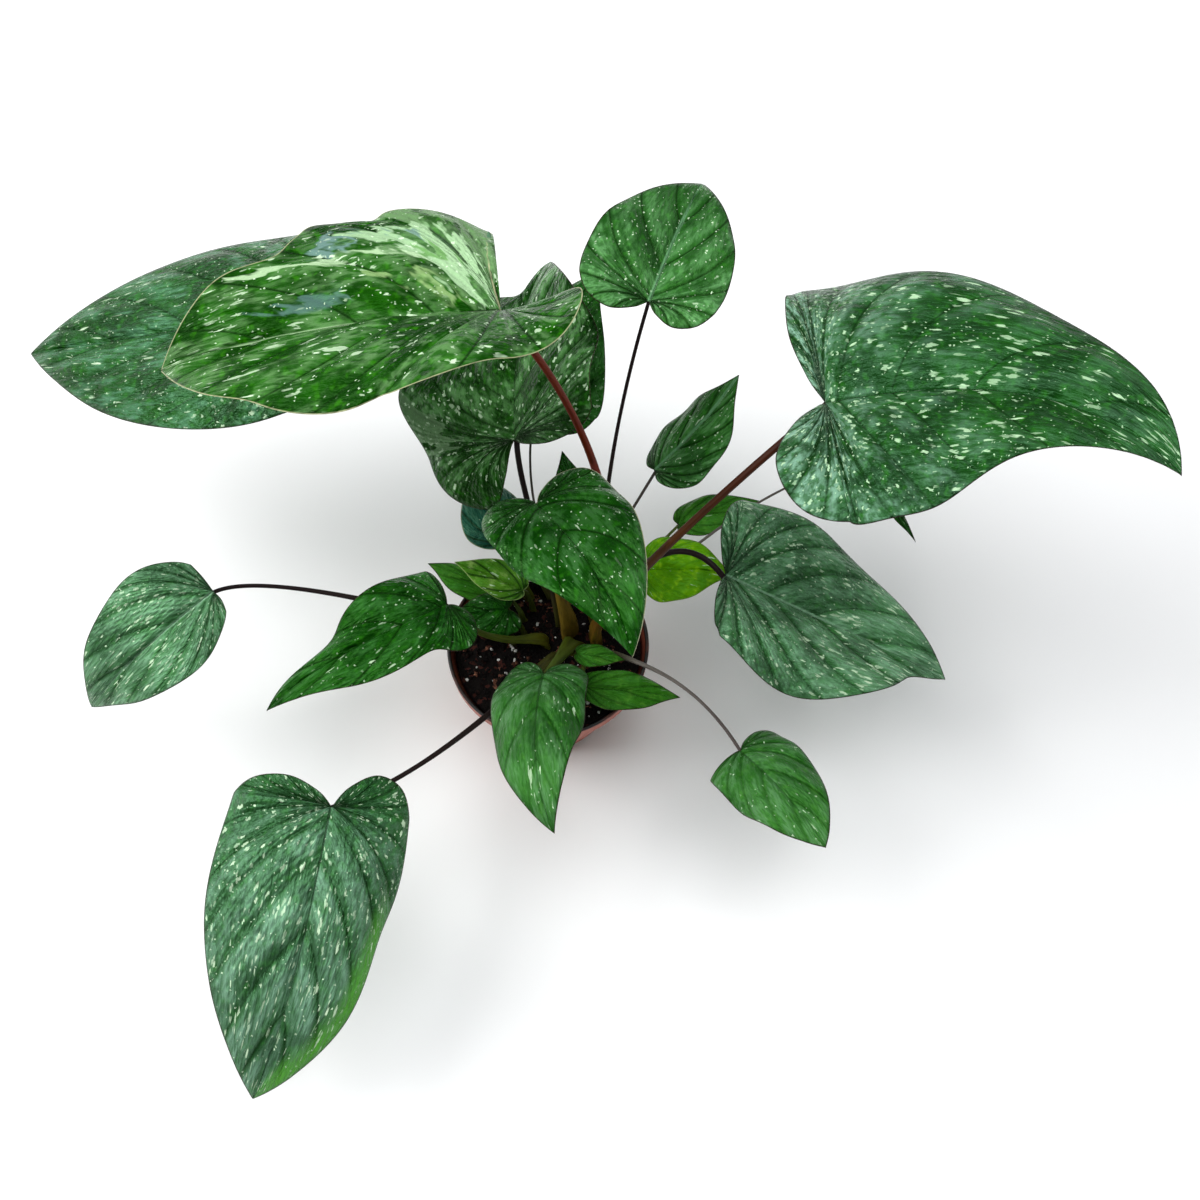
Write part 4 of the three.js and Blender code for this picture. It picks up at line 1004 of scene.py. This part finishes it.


# A look: the flesh from dark over green to fresh; the bluish bloom with its painted sheen at its strongest
# and, as even, at its weakest, with base near the joint and tip near the tip; the dark of the vein grooves,
# which is painted shade; the wax's gloss, shine and crinkles; the share of cells that are cream as dust,
# stars and dashes, and the level above which clouds are cream blotches, where 1 is none; and the rim.
PLAIN = dict(dark=0x083804, green=0x114A05, fresh=0x256E0B, bloom_and_sheen=0.6, even=0, base=1, tip=1,
             bloom_and_sheen_colour=0x3C7638, vein_colour=0x052302, groove_shade_share=0.85, gloss=0x84E66C, shine=0.42,
             crinkled=2, dust=0.05, stars=0.03, dashes=0.02, blotch=1, cream=0xD0EAC6, rim=0x2A1414,
             rim_wide=0.7, rough=0.29)
GREYED = dict(PLAIN, bloom_and_sheen=0.9, bloom_and_sheen_colour=0x5F9273, gloss=0xA0F0B0, shine=0.5, dust=0.08, stars=0.07,
              dashes=0.1)
LOOKS = {
    "plain": dict(PLAIN, dust=0.08),
    "light": dict(PLAIN, bloom_and_sheen=0.8, even=0.25, tip=0.15, bloom_and_sheen_colour=0x6AA466, shine=0.4, crinkled=1.2,
                  dust=0.1, midrib=0x6A9A70),
    "soft": dict(PLAIN, dark=0x164A0C, green=0x225C14, fresh=0x36701C, bloom_and_sheen=0.6, even=0.2,
                 bloom_and_sheen_colour=0x5C885C, groove_shade_share=0.45, dust=0.04, stars=0.02, dashes=0.02, blotch=0.73,
                 rough=0.34, crinkled=1),
    "dusted": dict(PLAIN, dark=0x062B02, green=0x0D3C04, bloom_and_sheen=0.9, bloom_and_sheen_colour=0x5C8C54, stars=0.06,
                   dashes=0.12, blotch=0.74, sector=mint_patch),
    "starry": dict(GREYED, dark=0x073204, bloom_and_sheen=1, bloom_and_sheen_colour=0x84B096, tip=0.12, even=0.12,
                   groove_shade_share=0.75, shine=0.42, dust=0.1, stars=0.09, dashes=0.15, blotch=0.72,
                   cream=0xBCE0B4, midrib=0x0E3A0E),
    "silvery": dict(GREYED, green=0x1C5C16, bloom_and_sheen=0.75, even=0.35, bloom_and_sheen_colour=0x7CAA86, groove_shade_share=0.7,
                    shine=0.7, stars=0.08, dashes=0.15, midrib=0x7FA486),
    "greyed": dict(GREYED, dark=0x073204, bloom_and_sheen=0.5, dust=0.09, stars=0.05, dashes=0.06),
    "fresh_edged": dict(GREYED, bloom_and_sheen=0.8, even=0.35, base=0.2, bloom_and_sheen_colour=0x78A087, shine=0.6,
                        groove_shade_share=0.7, stars=0.09, dashes=0.15, edge_colour=0x4F9A2A,
                        edge_where=(6.8, 12.5, -1, 14)),
    "sectored": dict(PLAIN, dark=0x083401, green=0x134F01, fresh=0x307C06, dust=0.08, stars=0.05,
                     dashes=0.06, blotch=0.71, bloom_and_sheen=0.42, bloom_and_sheen_colour=0x7CA86E, shine=0.16, crinkled=1.4,
                     sector=cream_sector_and_sheen, rim=0xA9AC84, midrib=0xA0BE92),
    "pale_edged": dict(PLAIN, bloom_and_sheen=0.5, bloom_and_sheen_colour=0x4C8448, rim=0xC9C8A4, rim_wide=0.6, rim_hand=-1,
                       dust=0.1, dashes=0.015, crinkled=0.9, rough=0.26),
    "young": dict(PLAIN, dark=0x2A6412, green=0x38741A, fresh=0x589030, bloom_and_sheen=0.3, groove_shade_share=0.5,
                  dust=0.01, stars=0, dashes=0.01, crinkled=1),
    "pale_young": dict(PLAIN, dark=0x3E7016, green=0x568A20, fresh=0x9CBC66, bloom_and_sheen=0.2, dust=0.02, stars=0,
                       dashes=0.06, rim=0x8AA060, crinkled=1),
    "lime": dict(PLAIN, dark=0x4A8602, green=0x68A804, fresh=0xA0D21C, bloom_and_sheen=0, dust=0.02, stars=0,
                 dashes=0.04, vein_colour=0x3C7A0C, groove_shade_share=0.5, rim=0x6E8A2A, crinkled=1),
    "teal": dict(GREYED, dark=0x154A3C, green=0x246452, fresh=0x3A7A66, bloom_and_sheen=0.3, dust=0.02, stars=0,
                 dashes=0.01, rim=0x9AA07C),
}
BLADES = {name: blade_top("waxy_blade_" + name, look) for name, look in LOOKS.items()}
green_under = blade_under("matte_underside", 0x4E7A58, 0x37603F)
teal_under = blade_under("bluish_underside", 0x3A6E66, 0x2A5650)
UNDERSIDES = {name: teal_under if name == "teal" else green_under for name in LOOKS}
STALKS = {
    "red_brown": stalk_skin("red_brown_stalk_skin", 0x5A4A14, 0x641C04, 0x6A2206),
    "brown": stalk_skin("brown_stalk_skin", 0x644E10, 0x4A2A08, 0x3E1A08),
    "dark": stalk_skin("near_black_stalk_skin", 0x4A4A20, 0x1E1412, 0x1C1010),
    "grey": stalk_skin("grey_stalk_skin", 0x5A5A30, 0x66605A, 0x4A423E),
    "olive": stalk_skin("olive_stalk_skin", 0x5E5E18, 0x4A5616, 0x46561E),
    "sheath": stalk_skin("yellow_brown_sheath_skin", 0x7A6420, 0x6E5A1A, 0x4A3A14),
}
for number, leaf in enumerate(LEAVES):
    leaf_piece(leaf, number)


# The setting
# A plain pale floor without an edge in view, a large soft lamp high at the back left, whose soft shadows
# fall to the right, a wide overhead panel for the satin on the leaves, and the camera where the photograph
# was taken.
def plain_board():
    """A matt painted board: an even near-white."""
    material, tree = new_finish("matt_painted_board")
    finish(tree, {"Base Color": linear(0xF8F8F8), "Roughness": 0.9})
    return material


FLOOR_REACH = 6
floor_mesh = bpy.data.meshes.new("floor")
corners = [(x * FLOOR_REACH, y * FLOOR_REACH, 0) for x, y in ((-1, -1), (1, -1), (1, 1), (-1, 1))]
floor_mesh.from_pydata(corners, [], [(0, 1, 2, 3)])
floor = piece_from("floor", floor_mesh, [plain_board()])
PLANT_MIDDLE = Vector((0, 0, 0.15))


def softbox(name, place, size, power, colour):
    """A square panel lamp that faces the middle of the plant."""
    lamp = bpy.data.lights.new(name, "AREA")
    lamp.shape = "SQUARE"
    lamp.size = size
    lamp.energy = power
    lamp.color = linear(colour)[:3]
    holder = bpy.data.objects.new(name, lamp)
    bpy.context.scene.collection.objects.link(holder)
    holder.location = place
    holder.rotation_euler = (PLANT_MIDDLE - Vector(place)).to_track_quat("-Z", "Y").to_euler()


softbox("key_panel", (-1.5, 0.1, 1.7), 1.6, 50, 0xFFFFFF)
softbox("sky_panel", (0.1, -0.1, 2.3), 1.5, 27, 0xFCFDFF)
softbox("side_panel", (1.5, 0.8, 1.7), 0.9, 12, 0xFCFDFF)

world = bpy.data.worlds.new("pale_room")
world.use_nodes = True
world.node_tree.nodes["Background"].inputs["Color"].default_value = linear(0xF4F6F8)
world.node_tree.nodes["Background"].inputs["Strength"].default_value = 0.2
bpy.context.scene.world = world
bpy.context.scene.view_settings.view_transform = "Standard"

# The photograph is this wide in its own pixels, and this is how many of them its focal length is.
PHOTO_WIDTH = 1200
PHOTO_FOCAL = 1500
CAMERA_PLACE = (31.2 * MM, -399.744 * MM, 888.765 * MM)
CAMERA_AHEAD = (0, 0.469472, -0.882948)
lens = bpy.data.cameras.new("camera")
lens.sensor_width = 36
lens.lens = lens.sensor_width * PHOTO_FOCAL / PHOTO_WIDTH
lens.clip_start, lens.clip_end = 0.05, 20
camera = bpy.data.objects.new("camera", lens)
bpy.context.scene.collection.objects.link(camera)
camera.location = CAMERA_PLACE
camera.rotation_euler = Vector(CAMERA_AHEAD).to_track_quat("-Z", "Y").to_euler()
bpy.context.scene.camera = camera
